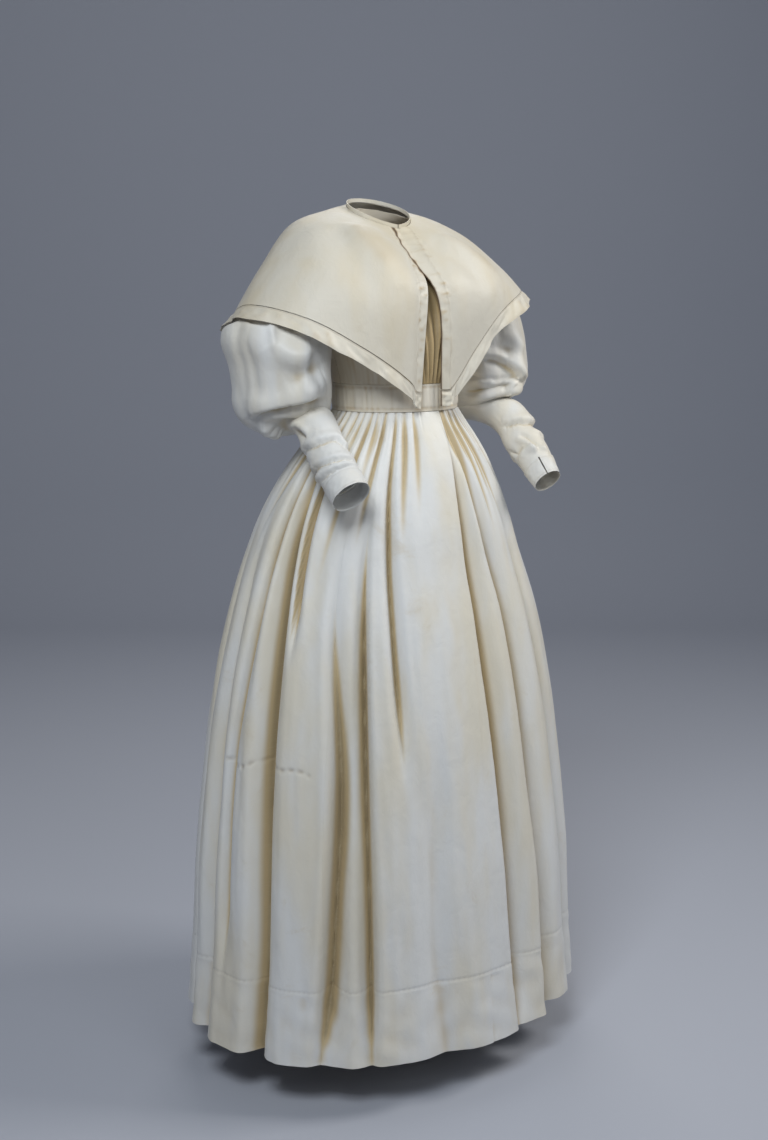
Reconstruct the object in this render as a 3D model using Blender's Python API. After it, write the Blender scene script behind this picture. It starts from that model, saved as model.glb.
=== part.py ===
"""A bride's silk dress of the 1830s, worn: gathered skirt, plain bodice, full sleeves and a pelerine cape.

Units are metres. Heights are above the floor under the wearer, who faces -Y with the left arm towards +X.
Angles run round the figure from centre front, positive towards the wearer's left. The origin is the centre of
the neck opening. Every cut piece is one wall of cloth, and pieces lie SEAM_GAP apart where they are sewn.
"""

import math

import bmesh
import bpy
import numpy as np

CLOTH = 0.0018
SEAM_GAP = 0.0003
NECK_HEIGHT = 1.4365
WAIST_SEAM = 1.122
BAND_TOP = 1.166
HEM = 0.088
UNDERARM = 1.238
SHOULDER_TIP = 1.388
WRIST_CUFF_LENGTH = 0.034

IVORY = (0.80, 0.74, 0.62)
BORDER_IVORY = (0.84, 0.78, 0.66)

SKIRT_COLUMNS = 144
SKIRT_SEAMS = (-50.0, 40.0, 132.5, 222.5)
SKIRT_NAMES = ("skirt_front", "skirt_side_left", "skirt_back", "skirt_side_right")
SKIRT_HEIGHTS = (HEM, 0.20, 0.34, 0.50, 0.66, 0.80, 0.90, 0.98, 1.04, 1.085, 1.108, WAIST_SEAM - 2.0 * SEAM_GAP)

# Outline of the skirt from above: height, half width, half depth, centre in Y.
SKIRT_OUTLINE = (
    (0.060, 0.370, 0.299, 0.000),
    (0.200, 0.356, 0.288, 0.000),
    (0.380, 0.346, 0.279, 0.000),
    (0.500, 0.333, 0.268, 0.000),
    (0.610, 0.318, 0.257, 0.000),
    (0.700, 0.301, 0.244, 0.000),
    (0.790, 0.279, 0.227, 0.000),
    (0.880, 0.249, 0.206, 0.000),
    (0.940, 0.227, 0.190, -0.005),
    (1.000, 0.197, 0.167, -0.012),
    (1.050, 0.166, 0.143, -0.019),
    (1.080, 0.143, 0.124, -0.024),
    (1.105, 0.123, 0.106, -0.028),
    (1.122, 0.111, 0.096, -0.030),
)

# Hanging folds, each a hollow between two rounds of cloth: angle at its top and at the hem, the heights where it
# starts, is full and has faded out, its depth, and its width in degrees on the side of lower and of higher angle.
SKIRT_FOLDS = (
    (-164.0, -166.0, 1.05, 0.50, 0.00, 0.048, 5.0, 7.0),
    (-148.0, -150.0, 1.07, 0.60, 0.00, 0.034, 4.0, 5.0),
    (-134.0, -133.0, 1.00, 0.45, 0.00, 0.050, 6.0, 5.0),
    (-117.0, -116.0, 1.02, 0.55, 0.00, 0.040, 5.0, 6.0),
    (-101.0, -101.0, 1.02, 0.50, 0.00, 0.042, 5.0, 5.0),
    (-87.0, -88.0, 1.09, 0.90, 0.00, 0.022, 4.5, 5.0),
    (-75.0, -76.0, 1.09, 0.50, 0.00, 0.042, 6.5, 3.2),
    (-68.5, -62.0, 1.09, 0.97, 0.78, 0.020, 3.0, 3.0),
    (-52.0, -51.5, 1.00, 0.40, 0.00, 0.070, 6.5, 6.5),
    (-41.0, -36.5, 1.02, 0.60, 0.00, 0.030, 4.0, 2.6),
    (-34.0, -25.0, 1.10, 0.90, 0.45, 0.018, 3.0, 2.6),
    (-16.5, -12.5, 0.66, 0.36, 0.00, 0.028, 7.0, 6.0),
    (3.0, 9.5, 1.10, 0.48, 0.00, 0.062, 3.4, 6.5),
    (13.0, 31.0, 1.10, 0.55, 0.00, 0.044, 3.4, 8.0),
    (33.0, 46.0, 1.07, 0.60, 0.00, 0.034, 5.0, 4.5),
    (56.0, 61.0, 1.08, 0.50, 0.00, 0.052, 5.5, 6.5),
    (74.0, 77.0, 1.06, 0.60, 0.00, 0.032, 5.0, 4.0),
    (90.0, 93.0, 1.08, 0.50, 0.00, 0.050, 6.0, 5.5),
    (107.0, 109.0, 1.06, 0.60, 0.00, 0.036, 4.5, 5.5),
    (124.0, 125.0, 1.08, 0.50, 0.00, 0.054, 6.0, 6.0),
    (143.0, 142.0, 1.05, 0.60, 0.00, 0.038, 5.0, 5.5),
    (160.0, 159.0, 1.07, 0.50, 0.00, 0.052, 6.5, 5.0),
    (177.0, 176.0, 1.07, 0.55, 0.00, 0.040, 5.0, 5.5),
)
GATHERS = 36
GATHER_DEPTH = 0.0045
GATHERS_END = 0.86
PLAIN_FRONT = (-24.0, 5.0)

# Outline of the bodice: height, half width, half depth, centre in Y.
BODICE_OUTLINE = (
    (1.122, 0.110, 0.095, -0.030),
    (1.166, 0.112, 0.096, -0.029),
    (1.200, 0.119, 0.101, -0.026),
    (1.238, 0.131, 0.107, -0.021),
    (1.280, 0.139, 0.1075, -0.0125),
    (1.320, 0.149, 0.0990, -0.0040),
    (1.342, 0.156, 0.0890, 0.0030),
    (1.362, 0.161, 0.0755, 0.0105),
    (1.388, 0.160, 0.0610, 0.0165),
    (1.410, 0.118, 0.0530, 0.0190),
    (1.432, 0.0635, 0.0510, 0.0180),
    (1.450, 0.050, 0.0460, 0.0170),
)
BODICE_COLUMNS = 8
SIDE_SEAM = 89.75
FRONT_GATHER_DEPTH = 0.0035
FRONT_GATHERS = 4.5

# The cape hangs from the neck in ribs: angle from centre front, then reach from the axis and height at the base of
# the neck, on the shoulder, at the swell over chest or arm, and at the free edge.
CAPE_RIGHT = (
    (0.0, 0.060, 1.386, 0.101, 1.349, 0.133, 1.303, 0.135, 1.128),
    (10.0, 0.062, 1.389, 0.103, 1.355, 0.136, 1.306, 0.138, 1.131),
    (20.0, 0.067, 1.395, 0.108, 1.366, 0.145, 1.310, 0.150, 1.143),
    (32.0, 0.073, 1.402, 0.115, 1.379, 0.160, 1.316, 0.169, 1.168),
    (47.0, 0.082, 1.410, 0.126, 1.390, 0.180, 1.327, 0.206, 1.203),
    (67.0, 0.092, 1.420, 0.142, 1.402, 0.206, 1.341, 0.258, 1.253),
    (90.0, 0.100, 1.432, 0.155, 1.410, 0.218, 1.351, 0.282, 1.274),
    (110.0, 0.100, 1.439, 0.158, 1.417, 0.210, 1.352, 0.270, 1.254),
    (130.0, 0.094, 1.444, 0.151, 1.419, 0.196, 1.349, 0.258, 1.231),
    (150.0, 0.090, 1.446, 0.132, 1.415, 0.170, 1.345, 0.222, 1.200),
    (180.0, 0.086, 1.443, 0.113, 1.412, 0.146, 1.340, 0.166, 1.176),
)
CAPE_LEFT = (
    (0.0, 0.060, 1.386, 0.101, 1.349, 0.133, 1.303, 0.135, 1.130),
    (10.0, 0.062, 1.389, 0.103, 1.355, 0.136, 1.306, 0.137, 1.131),
    (20.0, 0.067, 1.395, 0.108, 1.365, 0.144, 1.311, 0.142, 1.148),
    (32.0, 0.073, 1.401, 0.115, 1.377, 0.157, 1.319, 0.156, 1.190),
    (47.0, 0.082, 1.408, 0.126, 1.387, 0.178, 1.331, 0.193, 1.248),
    (67.0, 0.092, 1.418, 0.142, 1.398, 0.206, 1.347, 0.255, 1.291),
    (90.0, 0.100, 1.430, 0.155, 1.407, 0.220, 1.359, 0.288, 1.291),
    (110.0, 0.100, 1.438, 0.156, 1.412, 0.210, 1.353, 0.276, 1.268),
    (130.0, 0.094, 1.443, 0.144, 1.414, 0.192, 1.349, 0.262, 1.243),
    (150.0, 0.090, 1.446, 0.130, 1.414, 0.168, 1.346, 0.222, 1.205),
    (180.0, 0.086, 1.443, 0.113, 1.412, 0.146, 1.340, 0.166, 1.176),
)
CAPE_STATIONS = (0.0, 0.20, 0.42, 0.66, 1.0)
CAPE_COLUMNS = 30
CAPE_ROWS = 8
CAPE_OPENING_RIGHT = 0.017
CAPE_OPENING_LEFT = 0.011
BORDER_WIDTH = 0.026
BORDER_ROWS = 2
BORDER_WAVES = 7.0
BORDER_WAVE = 0.0042
NECK_RADIUS = 0.0535
NECK_SET_BACK = 0.015
NECK_FRONT = 1.4132
NECK_RISE = 0.045
NECK_SIDE = 1.433
BODICE_NECK_FRONT = 1.401
BODICE_NECK_BACK = 1.448
NECK_BAND_HEIGHT = 0.006
CAPE_CLEARANCE = 0.007
TORSO_CLEARANCE = 0.005

# Sections along a sleeve from shoulder to wrist: centre in X outwards, Y and height, half its width, its reach to
# the front and to the back, then in degrees how far it leans up towards the shoulder and pitches forward.
RIGHT_SLEEVE = (
    (0.1570, 0.003, 1.3115, 0.0730, 0.059, 0.060, 78.0, 0.0),
    (0.1685, 0.003, 1.2975, 0.0724, 0.074, 0.073, 71.0, 0.0),
    (0.1810, 0.003, 1.2780, 0.0744, 0.088, 0.086, 60.0, 0.0),
    (0.1950, 0.003, 1.2560, 0.0790, 0.097, 0.098, 48.0, 0.0),
    (0.2110, 0.003, 1.2310, 0.0870, 0.103, 0.106, 36.0, 0.0),
    (0.2170, 0.003, 1.2050, 0.0885, 0.103, 0.105, 26.0, 0.0),
    (0.2110, 0.003, 1.1780, 0.0805, 0.097, 0.090, 18.0, 0.0),
    (0.2070, 0.004, 1.1540, 0.0750, 0.090, 0.082, 12.0, 0.0),
    (0.2050, 0.004, 1.1330, 0.0730, 0.073, 0.086, 6.0, 6.0),
    (0.1980, 0.001, 1.1195, 0.0610, 0.050, 0.072, 3.0, 18.0),
    (0.1910, -0.020, 1.1050, 0.0450, 0.030, 0.044, 0.0, 50.0),
    (0.1930, -0.048, 1.0970, 0.0420, 0.034, 0.042, 0.0, 62.0),
    (0.1975, -0.082, 1.0800, 0.0385, 0.036, 0.039, 0.0, 60.0),
    (0.2020, -0.110, 1.0620, 0.0370, 0.036, 0.036, 0.0, 58.0),
    (0.2060, -0.136, 1.0470, 0.0320, 0.030, 0.032, 0.0, 60.0),
    (0.2105, -0.158, 1.0365, 0.0335, 0.032, 0.033, 0.0, 62.0),
    (0.2145, -0.176, 1.0285, 0.0285, 0.028, 0.028, 0.0, 62.0),
)
LEFT_SLEEVE = (
    (0.1570, 0.003, 1.3115, 0.0730, 0.059, 0.060, 78.0, 0.0),
    (0.1690, 0.003, 1.2985, 0.0730, 0.072, 0.073, 71.0, 0.0),
    (0.1810, 0.003, 1.2800, 0.0744, 0.082, 0.084, 60.0, 0.0),
    (0.1935, 0.003, 1.2580, 0.0780, 0.089, 0.091, 48.0, 0.0),
    (0.2050, 0.003, 1.2330, 0.0820, 0.093, 0.093, 35.0, 0.0),
    (0.2110, 0.003, 1.2080, 0.0835, 0.094, 0.092, 25.0, 0.0),
    (0.2125, 0.003, 1.1840, 0.0840, 0.096, 0.090, 18.0, 0.0),
    (0.2120, 0.002, 1.1540, 0.0840, 0.098, 0.084, 12.0, 0.0),
    (0.2100, 0.002, 1.1350, 0.0790, 0.088, 0.074, 6.0, 5.0),
    (0.2060, -0.002, 1.1250, 0.0620, 0.053, 0.056, 3.0, 16.0),
    (0.2010, -0.024, 1.1120, 0.0470, 0.028, 0.038, 0.0, 48.0),
    (0.2000, -0.052, 1.1060, 0.0410, 0.029, 0.034, 0.0, 54.0),
    (0.2000, -0.082, 1.0950, 0.0380, 0.033, 0.034, 0.0, 52.0),
    (0.2005, -0.108, 1.0780, 0.0375, 0.034, 0.034, 0.0, 50.0),
    (0.2010, -0.130, 1.0600, 0.0335, 0.031, 0.032, 0.0, 50.0),
    (0.2015, -0.148, 1.0420, 0.0345, 0.031, 0.033, 0.0, 50.0),
    (0.2020, -0.163, 1.0240, 0.0275, 0.026, 0.027, 0.0, 50.0),
)
SLEEVE_COLUMNS = 22
SLEEVE_RINGS = 24
SLEEVE_PLEATS = 7
SLEEVE_PLEAT_DEPTH = 0.0045
CUFF_RADIUS = 0.0265
CUFF_COLUMNS = 20
CUFF_SLIT = 16.0


def smooth(value):
    """0 below 0, 1 above 1 and an even S between."""
    share = np.clip(value, 0.0, 1.0)
    return share * share * (3.0 - 2.0 * share)


def through(places, values, at):
    """A smooth curve through values at the rising places, read at the given places."""
    places, values, at = (np.asarray(item, float) for item in (places, values, at))
    slopes = np.gradient(values, places)
    index = np.clip(np.searchsorted(places, at, side="right") - 1, 0, len(places) - 2)
    span = places[index + 1] - places[index]
    share = np.clip((at - places[index]) / span, 0.0, 1.0)
    rise = share * share * (3.0 - 2.0 * share)
    leave = share * (1.0 - share) ** 2
    arrive = share * share * (share - 1.0)
    straight = values[index] * (1.0 - rise) + values[index + 1] * rise
    return straight + span * (leave * slopes[index] + arrive * slopes[index + 1])


def read(table, column, at):
    """A column of a table as a smooth curve over the table's first column."""
    rows = np.array(table)
    return through(rows[:, 0], rows[:, column], at)


def unit(vectors):
    return vectors / np.linalg.norm(vectors, axis=-1, keepdims=True)


def grid_normals(grid, closed):
    """Normals of a grid of points, rows by columns, whose columns may close into a ring."""
    if closed:
        across = np.roll(grid, -1, axis=1) - np.roll(grid, 1, axis=1)
    else:
        across = np.gradient(grid, axis=1, edge_order=2)
    along = np.gradient(grid, axis=0, edge_order=2)
    return unit(np.cross(across, along))


def wall_faces(rows, columns, closed):
    """Quads of a closed wall: the outer skin, the inner skin and the strips that join them at the edges."""
    inner = rows * columns
    last = columns if closed else columns - 1

    def at(row, column):
        return row * columns + column % columns

    faces = []
    for row in range(rows - 1):
        for column in range(last):
            corners = (at(row, column), at(row, column + 1), at(row + 1, column + 1), at(row + 1, column))
            faces.append(corners)
            faces.append(tuple(inner + corner for corner in reversed(corners)))
    for column in range(last):
        for row, turn in ((0, 1), (rows - 1, -1)):
            one, two = at(row, column), at(row, column + 1)
            faces.append((one, inner + one, inner + two, two)[::turn])
    if not closed:
        for row in range(rows - 1):
            for column, turn in ((0, -1), (columns - 1, 1)):
                one, two = at(row, column), at(row + 1, column)
                faces.append((one, inner + one, inner + two, two)[::turn])
    return faces


def silk(name, colour):
    """A piece's own material: pale silk with a low sheen."""
    material = bpy.data.materials.new(name)
    material.use_nodes = True
    shader = material.node_tree.nodes["Principled BSDF"]
    shader.inputs["Base Color"].default_value = (*colour, 1.0)
    shader.inputs["Roughness"].default_value = 0.55
    shader.inputs["Metallic"].default_value = 0.0
    return material


def add_piece(name, outer, inner, closed, colour, floor):
    """One cut piece as a closed mesh between its outer and inner skins, standing on the floor empty."""
    rows, columns = outer.shape[:2]
    points = np.concatenate([outer.reshape(-1, 3), inner.reshape(-1, 3)])
    mesh = bpy.data.meshes.new(name)
    mesh.from_pydata(points.tolist(), [], wall_faces(rows, columns, closed))
    shape = bmesh.new()
    shape.from_mesh(mesh)
    bmesh.ops.triangulate(shape, faces=shape.faces, quad_method="SHORT_EDGE")
    bmesh.ops.recalc_face_normals(shape, faces=shape.faces)
    shape.to_mesh(mesh)
    shape.free()
    mesh.shade_smooth()
    mesh.set_sharp_from_angle(angle=math.radians(60.0))
    mesh.materials.append(silk(name, colour))
    piece = bpy.data.objects.new(name, mesh)
    piece.parent = floor
    bpy.context.scene.collection.objects.link(piece)
    return piece


def pull_in(skin, amount):
    """Draws the two end columns of a strip of cloth in by half a seam's gap."""
    drawn = skin.copy()
    drawn[:, 0] += amount * unit(skin[:, 1] - skin[:, 0])
    drawn[:, -1] += amount * unit(skin[:, -2] - skin[:, -1])
    return drawn


def fold_depth(angle, height):
    """How far the hanging folds draw the skirt in at an angle in degrees and a height."""
    depth = np.zeros_like(angle)
    for top_angle, hem_angle, start, full, end, deep, low_side, high_side in SKIRT_FOLDS:
        drop = np.clip((start - height) / (start - HEM), 0.0, 1.0)
        centre = top_angle + (hem_angle - top_angle) * drop
        off = (angle - centre + 180.0) % 360.0 - 180.0
        width = np.where(off < 0.0, low_side, high_side)
        amount = deep * smooth((start - height) / (start - full))
        if end > 0.0:
            amount = amount * smooth((height - end) / (0.5 * (full - end)))
        depth = depth + amount * np.exp(-np.abs(off / width) ** 2.2)
    return depth


def gather_depth(angle, height):
    """Fine gathers under the waist seam, none across the plain front."""
    low, high = PLAIN_FRONT
    turned = (angle + 180.0) % 360.0 - 180.0
    plain = smooth((turned - low) / 8.0) * smooth((high - turned) / 5.0)
    fade = smooth((height - GATHERS_END) / (WAIST_SEAM - GATHERS_END))
    return GATHER_DEPTH * fade * (1.0 - plain) * (1.0 - np.cos(np.radians(GATHERS * angle)))


def skirt_surface(angle, height):
    """Outer points of the skirt at angles in degrees and heights."""
    half_width = read(SKIRT_OUTLINE, 1, height)
    half_depth = read(SKIRT_OUTLINE, 2, height)
    centre = read(SKIRT_OUTLINE, 3, height)
    turn = np.radians(angle)
    inset = fold_depth(angle, height) + gather_depth(angle, height)
    x = (half_width - inset) * np.sin(turn)
    y = centre - (half_depth - inset) * np.cos(turn)
    return np.stack([x, y, height + 0.0 * x], axis=-1)


def make_skirt(floor):
    """Four breadths of silk, each from waist to hem, cut from one ring so that their seams meet."""
    step = 360.0 / SKIRT_COLUMNS
    angle, height = np.meshgrid(step * np.arange(SKIRT_COLUMNS), SKIRT_HEIGHTS)
    outer = skirt_surface(angle, height)
    inner = outer - CLOTH * grid_normals(outer, True)
    for name, start, end in zip(SKIRT_NAMES, SKIRT_SEAMS, (*SKIRT_SEAMS[1:], SKIRT_SEAMS[0] + 360.0)):
        columns = np.arange(round(start / step), round(end / step) + 1) % SKIRT_COLUMNS
        skins = [pull_in(skin[:, columns], SEAM_GAP) for skin in (outer, inner)]
        add_piece(name, *skins, False, IVORY, floor)


def torso_surface(angle, height):
    """Points of the bodice's outer face at angles in degrees and heights."""
    turn = np.radians(angle)
    x = read(BODICE_OUTLINE, 1, height) * np.sin(turn)
    y = read(BODICE_OUTLINE, 3, height) - read(BODICE_OUTLINE, 2, height) * np.cos(turn)
    return np.stack([x, y, height + 0.0 * x], axis=-1)


def patch(bottom, top, left, right, across, up):
    """Fills a four-sided patch from its edges, each a function of a share that gives two coordinates."""
    across, up = np.meshgrid(across, up)
    a, u = across[..., None], up[..., None]
    ruled = (1 - u) * bottom(across) + u * top(across) + (1 - a) * left(up) + a * right(up)
    first, last = np.zeros(1), np.ones(1)
    corners = (
        (1 - a) * (1 - u) * bottom(first)
        + a * (1 - u) * bottom(last)
        + (1 - a) * u * top(first)
        + a * u * top(last)
    )
    return ruled - corners


def edge_line(*knots):
    """An edge through knots of share, reach and height, as a function of the share along it."""
    shares, reaches, heights = (np.array(item) for item in zip(*knots))

    def line(share):
        return np.stack([np.interp(share, shares, reaches), np.interp(share, shares, heights)], axis=-1)

    return line


def bodice_half(neck_height, columns):
    """Half of the bodice front or back as angles and heights, from the centre line to side seam and armhole."""
    waist, under, ridge = (float(read(BODICE_OUTLINE, 1, at)) for at in (BAND_TOP, UNDERARM, NECK_SIDE))
    rise = NECK_SIDE - neck_height
    bottom = edge_line((0.0, 0.0, BAND_TOP), (1.0, waist, BAND_TOP))
    centre = edge_line((0.0, 0.0, BAND_TOP), (1.0, 0.0, neck_height))
    top = edge_line(
        (0.0, 0.0, neck_height),
        (0.20, 0.48 * ridge, neck_height + 0.18 * rise),
        (0.38, 0.85 * ridge, neck_height + 0.62 * rise),
        (0.50, ridge, NECK_SIDE),
        (0.72, 0.104, 1.416),
        (0.86, 0.134, 1.402),
        (1.0, 0.160, SHOULDER_TIP),
    )
    outer_edge = edge_line(
        (0.0, waist, BAND_TOP),
        (0.36, under, UNDERARM),
        (0.45, 0.1290, 1.256),
        (0.58, 0.1315, 1.290),
        (0.74, 0.1350, 1.333),
        (0.90, 0.1460, 1.368),
        (1.0, 0.1600, SHOULDER_TIP),
    )
    across = np.sin(np.linspace(0.0, 0.5 * math.pi, columns + 1))
    up = np.array([0.0, 0.14, 0.26, 0.36, 0.47, 0.61, 0.76, 0.90, 1.0])
    plan = patch(bottom, top, centre, outer_edge, across, up)
    sine = plan[..., 0] / read(BODICE_OUTLINE, 1, plan[..., 1])
    angle = np.minimum(np.degrees(np.arcsin(np.clip(sine, 0.0, 1.0))), SIDE_SEAM)
    return np.stack([angle, plan[..., 1]], axis=-1)


def mirrored(half):
    """Both halves of a front from its left-hand half of angles and heights."""
    other = half[:, :0:-1] * np.array([-1.0, 1.0])
    return np.concatenate([other, half], axis=1)


def torso_normals(angle, height):
    """Outward directions of the bodice's outer face, the same for every piece that meets at a seam."""
    across = torso_surface(angle + 0.5, height) - torso_surface(angle - 0.5, height)
    up = torso_surface(angle, height + 0.003) - torso_surface(angle, height - 0.003)
    return unit(np.cross(across, up))


def front_gathers(angle, height):
    """How far the bodice front swells in the soft gathers that run down to the waist at centre front."""
    near = np.exp(-((angle / 34.0) ** 2)) * smooth((1.36 - height) / 0.10) * smooth((height - BAND_TOP) / 0.02)
    return FRONT_GATHER_DEPTH * near * np.cos(np.radians(angle * FRONT_GATHERS * 4.0))


def make_bodice(floor):
    """The front in one piece, and two backs that close at centre back."""
    front_plan = mirrored(bodice_half(BODICE_NECK_FRONT, BODICE_COLUMNS))
    back_plan = bodice_half(BODICE_NECK_BACK, BODICE_COLUMNS)[:, ::-1]
    back_plan[..., 0] = 180.0 - back_plan[..., 0]
    right_plan = back_plan[:, ::-1] * np.array([-1.0, 1.0])
    plans = {"bodice_front": front_plan, "bodice_back_left": back_plan, "bodice_back_right": right_plan}
    for name, plan in plans.items():
        angle, height = plan[..., 0], plan[..., 1]
        normals = torso_normals(angle, height)
        swell = front_gathers(angle, height) if name == "bodice_front" else 0.0 * angle
        outer = torso_surface(angle, height) + swell[..., None] * normals + np.array([0.0, 0.0, SEAM_GAP])
        inner = outer - CLOTH * normals
        skins = [pull_in(skin, SEAM_GAP) for skin in (outer, inner)]
        add_piece(name, *skins, False, IVORY, floor)


def make_waistband(floor):
    """A fitted band round the waist that closes at centre back."""
    angle, height = np.meshgrid(
        np.linspace(-179.9, 179.9, 49), (WAIST_SEAM, 0.5 * (WAIST_SEAM + BAND_TOP), BAND_TOP - SEAM_GAP)
    )
    outer = torso_surface(angle, height)
    inner = outer - CLOTH * grid_normals(outer, False)
    add_piece("waistband", outer, inner, False, IVORY, floor)


def neck_line(angle):
    """The neck edge of the cape at angles from centre front: X, Y and height."""
    turn = np.radians(angle)
    reach = np.sqrt(NECK_RADIUS**2 - (NECK_SET_BACK * np.sin(turn)) ** 2) - NECK_SET_BACK * np.cos(turn)
    y = -reach * np.cos(turn)
    back = np.clip((y + NECK_RADIUS - NECK_SET_BACK) / (2.0 * NECK_RADIUS), 0.0, 1.0)
    return reach * np.sin(turn), y, NECK_FRONT + NECK_RISE * back**0.75


def cape_surface(ribs, side, angle, share):
    """Points of the cape at angles in degrees and shares of the way from neck to edge. side is -1 for the right."""
    neck_x, neck_y, neck_z = neck_line(angle)
    reach = [np.hypot(neck_x, neck_y)] + [read(ribs, column, angle) for column in (1, 3, 5, 7)]
    height = [neck_z] + [read(ribs, column, angle) for column in (2, 4, 6, 8)]
    flat = np.array([item.reshape(-1) for item in np.broadcast_arrays(share, *reach, *height)]).T
    radius = np.array([through(CAPE_STATIONS, row[1:6], row[0]) for row in flat]).reshape(angle.shape)
    z = np.array([through(CAPE_STATIONS, row[6:], row[0]) for row in flat]).reshape(angle.shape)
    opening = CAPE_OPENING_LEFT if side > 0.0 else CAPE_OPENING_RIGHT
    slack = opening * smooth((1.290 - z) / 0.07) * smooth((24.0 - angle) / 24.0)
    turn = np.radians(angle)
    x = side * (radius * np.sin(turn) + slack + SEAM_GAP)
    return np.stack([x, -radius * np.cos(turn), z], axis=-1)


def border_flare(grid, angle, share, start):
    """Lifts the border off the surface in waves that grow towards its free edge."""
    out = smooth((share - start) / (1.0 - start))
    calm = smooth(angle / 20.0) * smooth((178.0 - angle) / 20.0)
    wave = 1.0 + np.sin(np.radians(angle) * 2.0 * BORDER_WAVES)
    lift = BORDER_WAVE * out * calm * wave
    away = unit(grid * np.array([1.0, 1.0, 0.0]))
    return grid + lift[..., None] * away


def cape_seam_share(ribs, angle):
    """Where the border's seam lies along each rib, BORDER_WIDTH from the edge."""
    reach = read(ribs, 7, angle) - read(ribs, 5, angle)
    drop = read(ribs, 6, angle) - read(ribs, 8, angle)
    return 1.0 - (1.0 - CAPE_STATIONS[3]) * BORDER_WIDTH / np.hypot(reach, drop)


def cape_grid(ribs, side, from_seam):
    """Outer points of a half cape, or of its border, as rows from the neck outwards."""
    angle = 180.0 * smooth(np.linspace(0.0, 1.0, CAPE_COLUMNS + 1)) * 0.35
    angle = angle + 0.65 * np.linspace(0.0, 180.0, CAPE_COLUMNS + 1)
    seam = cape_seam_share(ribs, angle)
    if from_seam:
        steps = np.linspace(0.0, 1.0, BORDER_ROWS + 1)[:, None]
        share = seam + 0.004 + (1.0 - seam - 0.004) * steps
    else:
        steps = np.linspace(0.0, 1.0, CAPE_ROWS + 1)[:, None]
        share = seam * steps
    angle = np.broadcast_to(angle, share.shape)
    grid = cape_surface(ribs, side, angle, share)
    return border_flare(grid, angle, share, np.broadcast_to(seam, share.shape))


def make_cape(floor):
    """Two halves that meet at centre back and hang open in front, each with its border."""
    for name, ribs, side in (("right", CAPE_RIGHT, -1.0), ("left", CAPE_LEFT, 1.0)):
        for part, from_seam, colour in (("cape", False, IVORY), ("cape_border", True, BORDER_IVORY)):
            grid = cape_grid(ribs, side, from_seam)
            outer = grid if side > 0.0 else grid[:, ::-1]
            inner = outer + CLOTH * grid_normals(outer, False)
            add_piece(f"{part}_{name}", outer, inner, False, colour, floor)


def make_neck_band(floor):
    """A bound edge that stands on the neck line, open at centre front."""
    angle = np.linspace(2.0, 358.0, 37)
    x, y, z = neck_line(angle)
    lift = SEAM_GAP + NECK_BAND_HEIGHT * np.array([0.0, 1.0])[:, None]
    line = np.stack([x + 0.0 * lift, y + 0.0 * lift, z + lift], axis=-1)[:, ::-1]
    away = unit(line * np.array([1.0, 1.0, 0.0]))
    outer = line - 2.0 * SEAM_GAP * away
    inner = outer - CLOTH * away
    add_piece("neck_band", outer, inner, False, BORDER_IVORY, floor)


def under_cape(points, ribs):
    """Presses points down to lie clear below the cape where it covers them."""
    angle = np.degrees(np.arctan2(np.abs(points[..., 0]), -points[..., 1]))
    reach = np.hypot(points[..., 0], points[..., 1])
    shares = np.linspace(0.0, 1.0, 21)
    pressed = points.copy()
    for index in np.ndindex(reach.shape):
        rib = cape_surface(ribs, 1.0, np.full(shares.shape, angle[index]), shares)
        distance = np.hypot(rib[:, 0], rib[:, 1])
        edge = rib[-1, 2] - CAPE_CLEARANCE
        ceiling = np.interp(reach[index] + CAPE_CLEARANCE, distance, rib[:, 2], right=edge) - CLOTH
        pressed[index][2] = min(points[index][2], ceiling)
    return pressed


def off_torso(points):
    """Moves points out sideways so that they lie clear of the bodice, the band and the top of the skirt."""
    height = points[..., 2]
    body = [read(BODICE_OUTLINE, column, np.clip(height, 1.122, 1.40)) for column in (1, 2, 3)]
    skirt = [read(SKIRT_OUTLINE, column, np.clip(height, 0.90, 1.122)) for column in (1, 2, 3)]
    width, depth, centre = (np.where(height > WAIST_SEAM, *pair) for pair in zip(body, skirt))
    off_y = points[..., 1] - centre
    room = np.sqrt(np.clip(1.0 - (off_y / (depth + TORSO_CLEARANCE)) ** 2, 0.0, 1.0))
    wall = (width + TORSO_CLEARANCE + CLOTH) * room
    clear = points.copy()
    sign = np.sign(points[..., 0])
    clear[..., 0] = sign * np.maximum(np.abs(points[..., 0]), wall)
    return clear


def armhole():
    """The left armhole's edge as a ring of points that starts at the shoulder tip and runs down the front."""
    front = bodice_half(BODICE_NECK_FRONT, BODICE_COLUMNS)[3:, -1][::-1]
    back = bodice_half(BODICE_NECK_BACK, BODICE_COLUMNS)[4:-1, -1]
    edge = np.concatenate([front, back * [-1.0, 1.0] + [180.0, 0.0], front[:1]])
    points = torso_surface(edge[:, 0], edge[:, 1])
    length = np.concatenate([[0.0], np.cumsum(np.linalg.norm(np.diff(points, axis=0), axis=1))])
    at = np.linspace(0.0, length[-1], SLEEVE_COLUMNS, endpoint=False)
    return np.stack([np.interp(at, length, points[:, axis]) for axis in range(3)], axis=-1)


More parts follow.
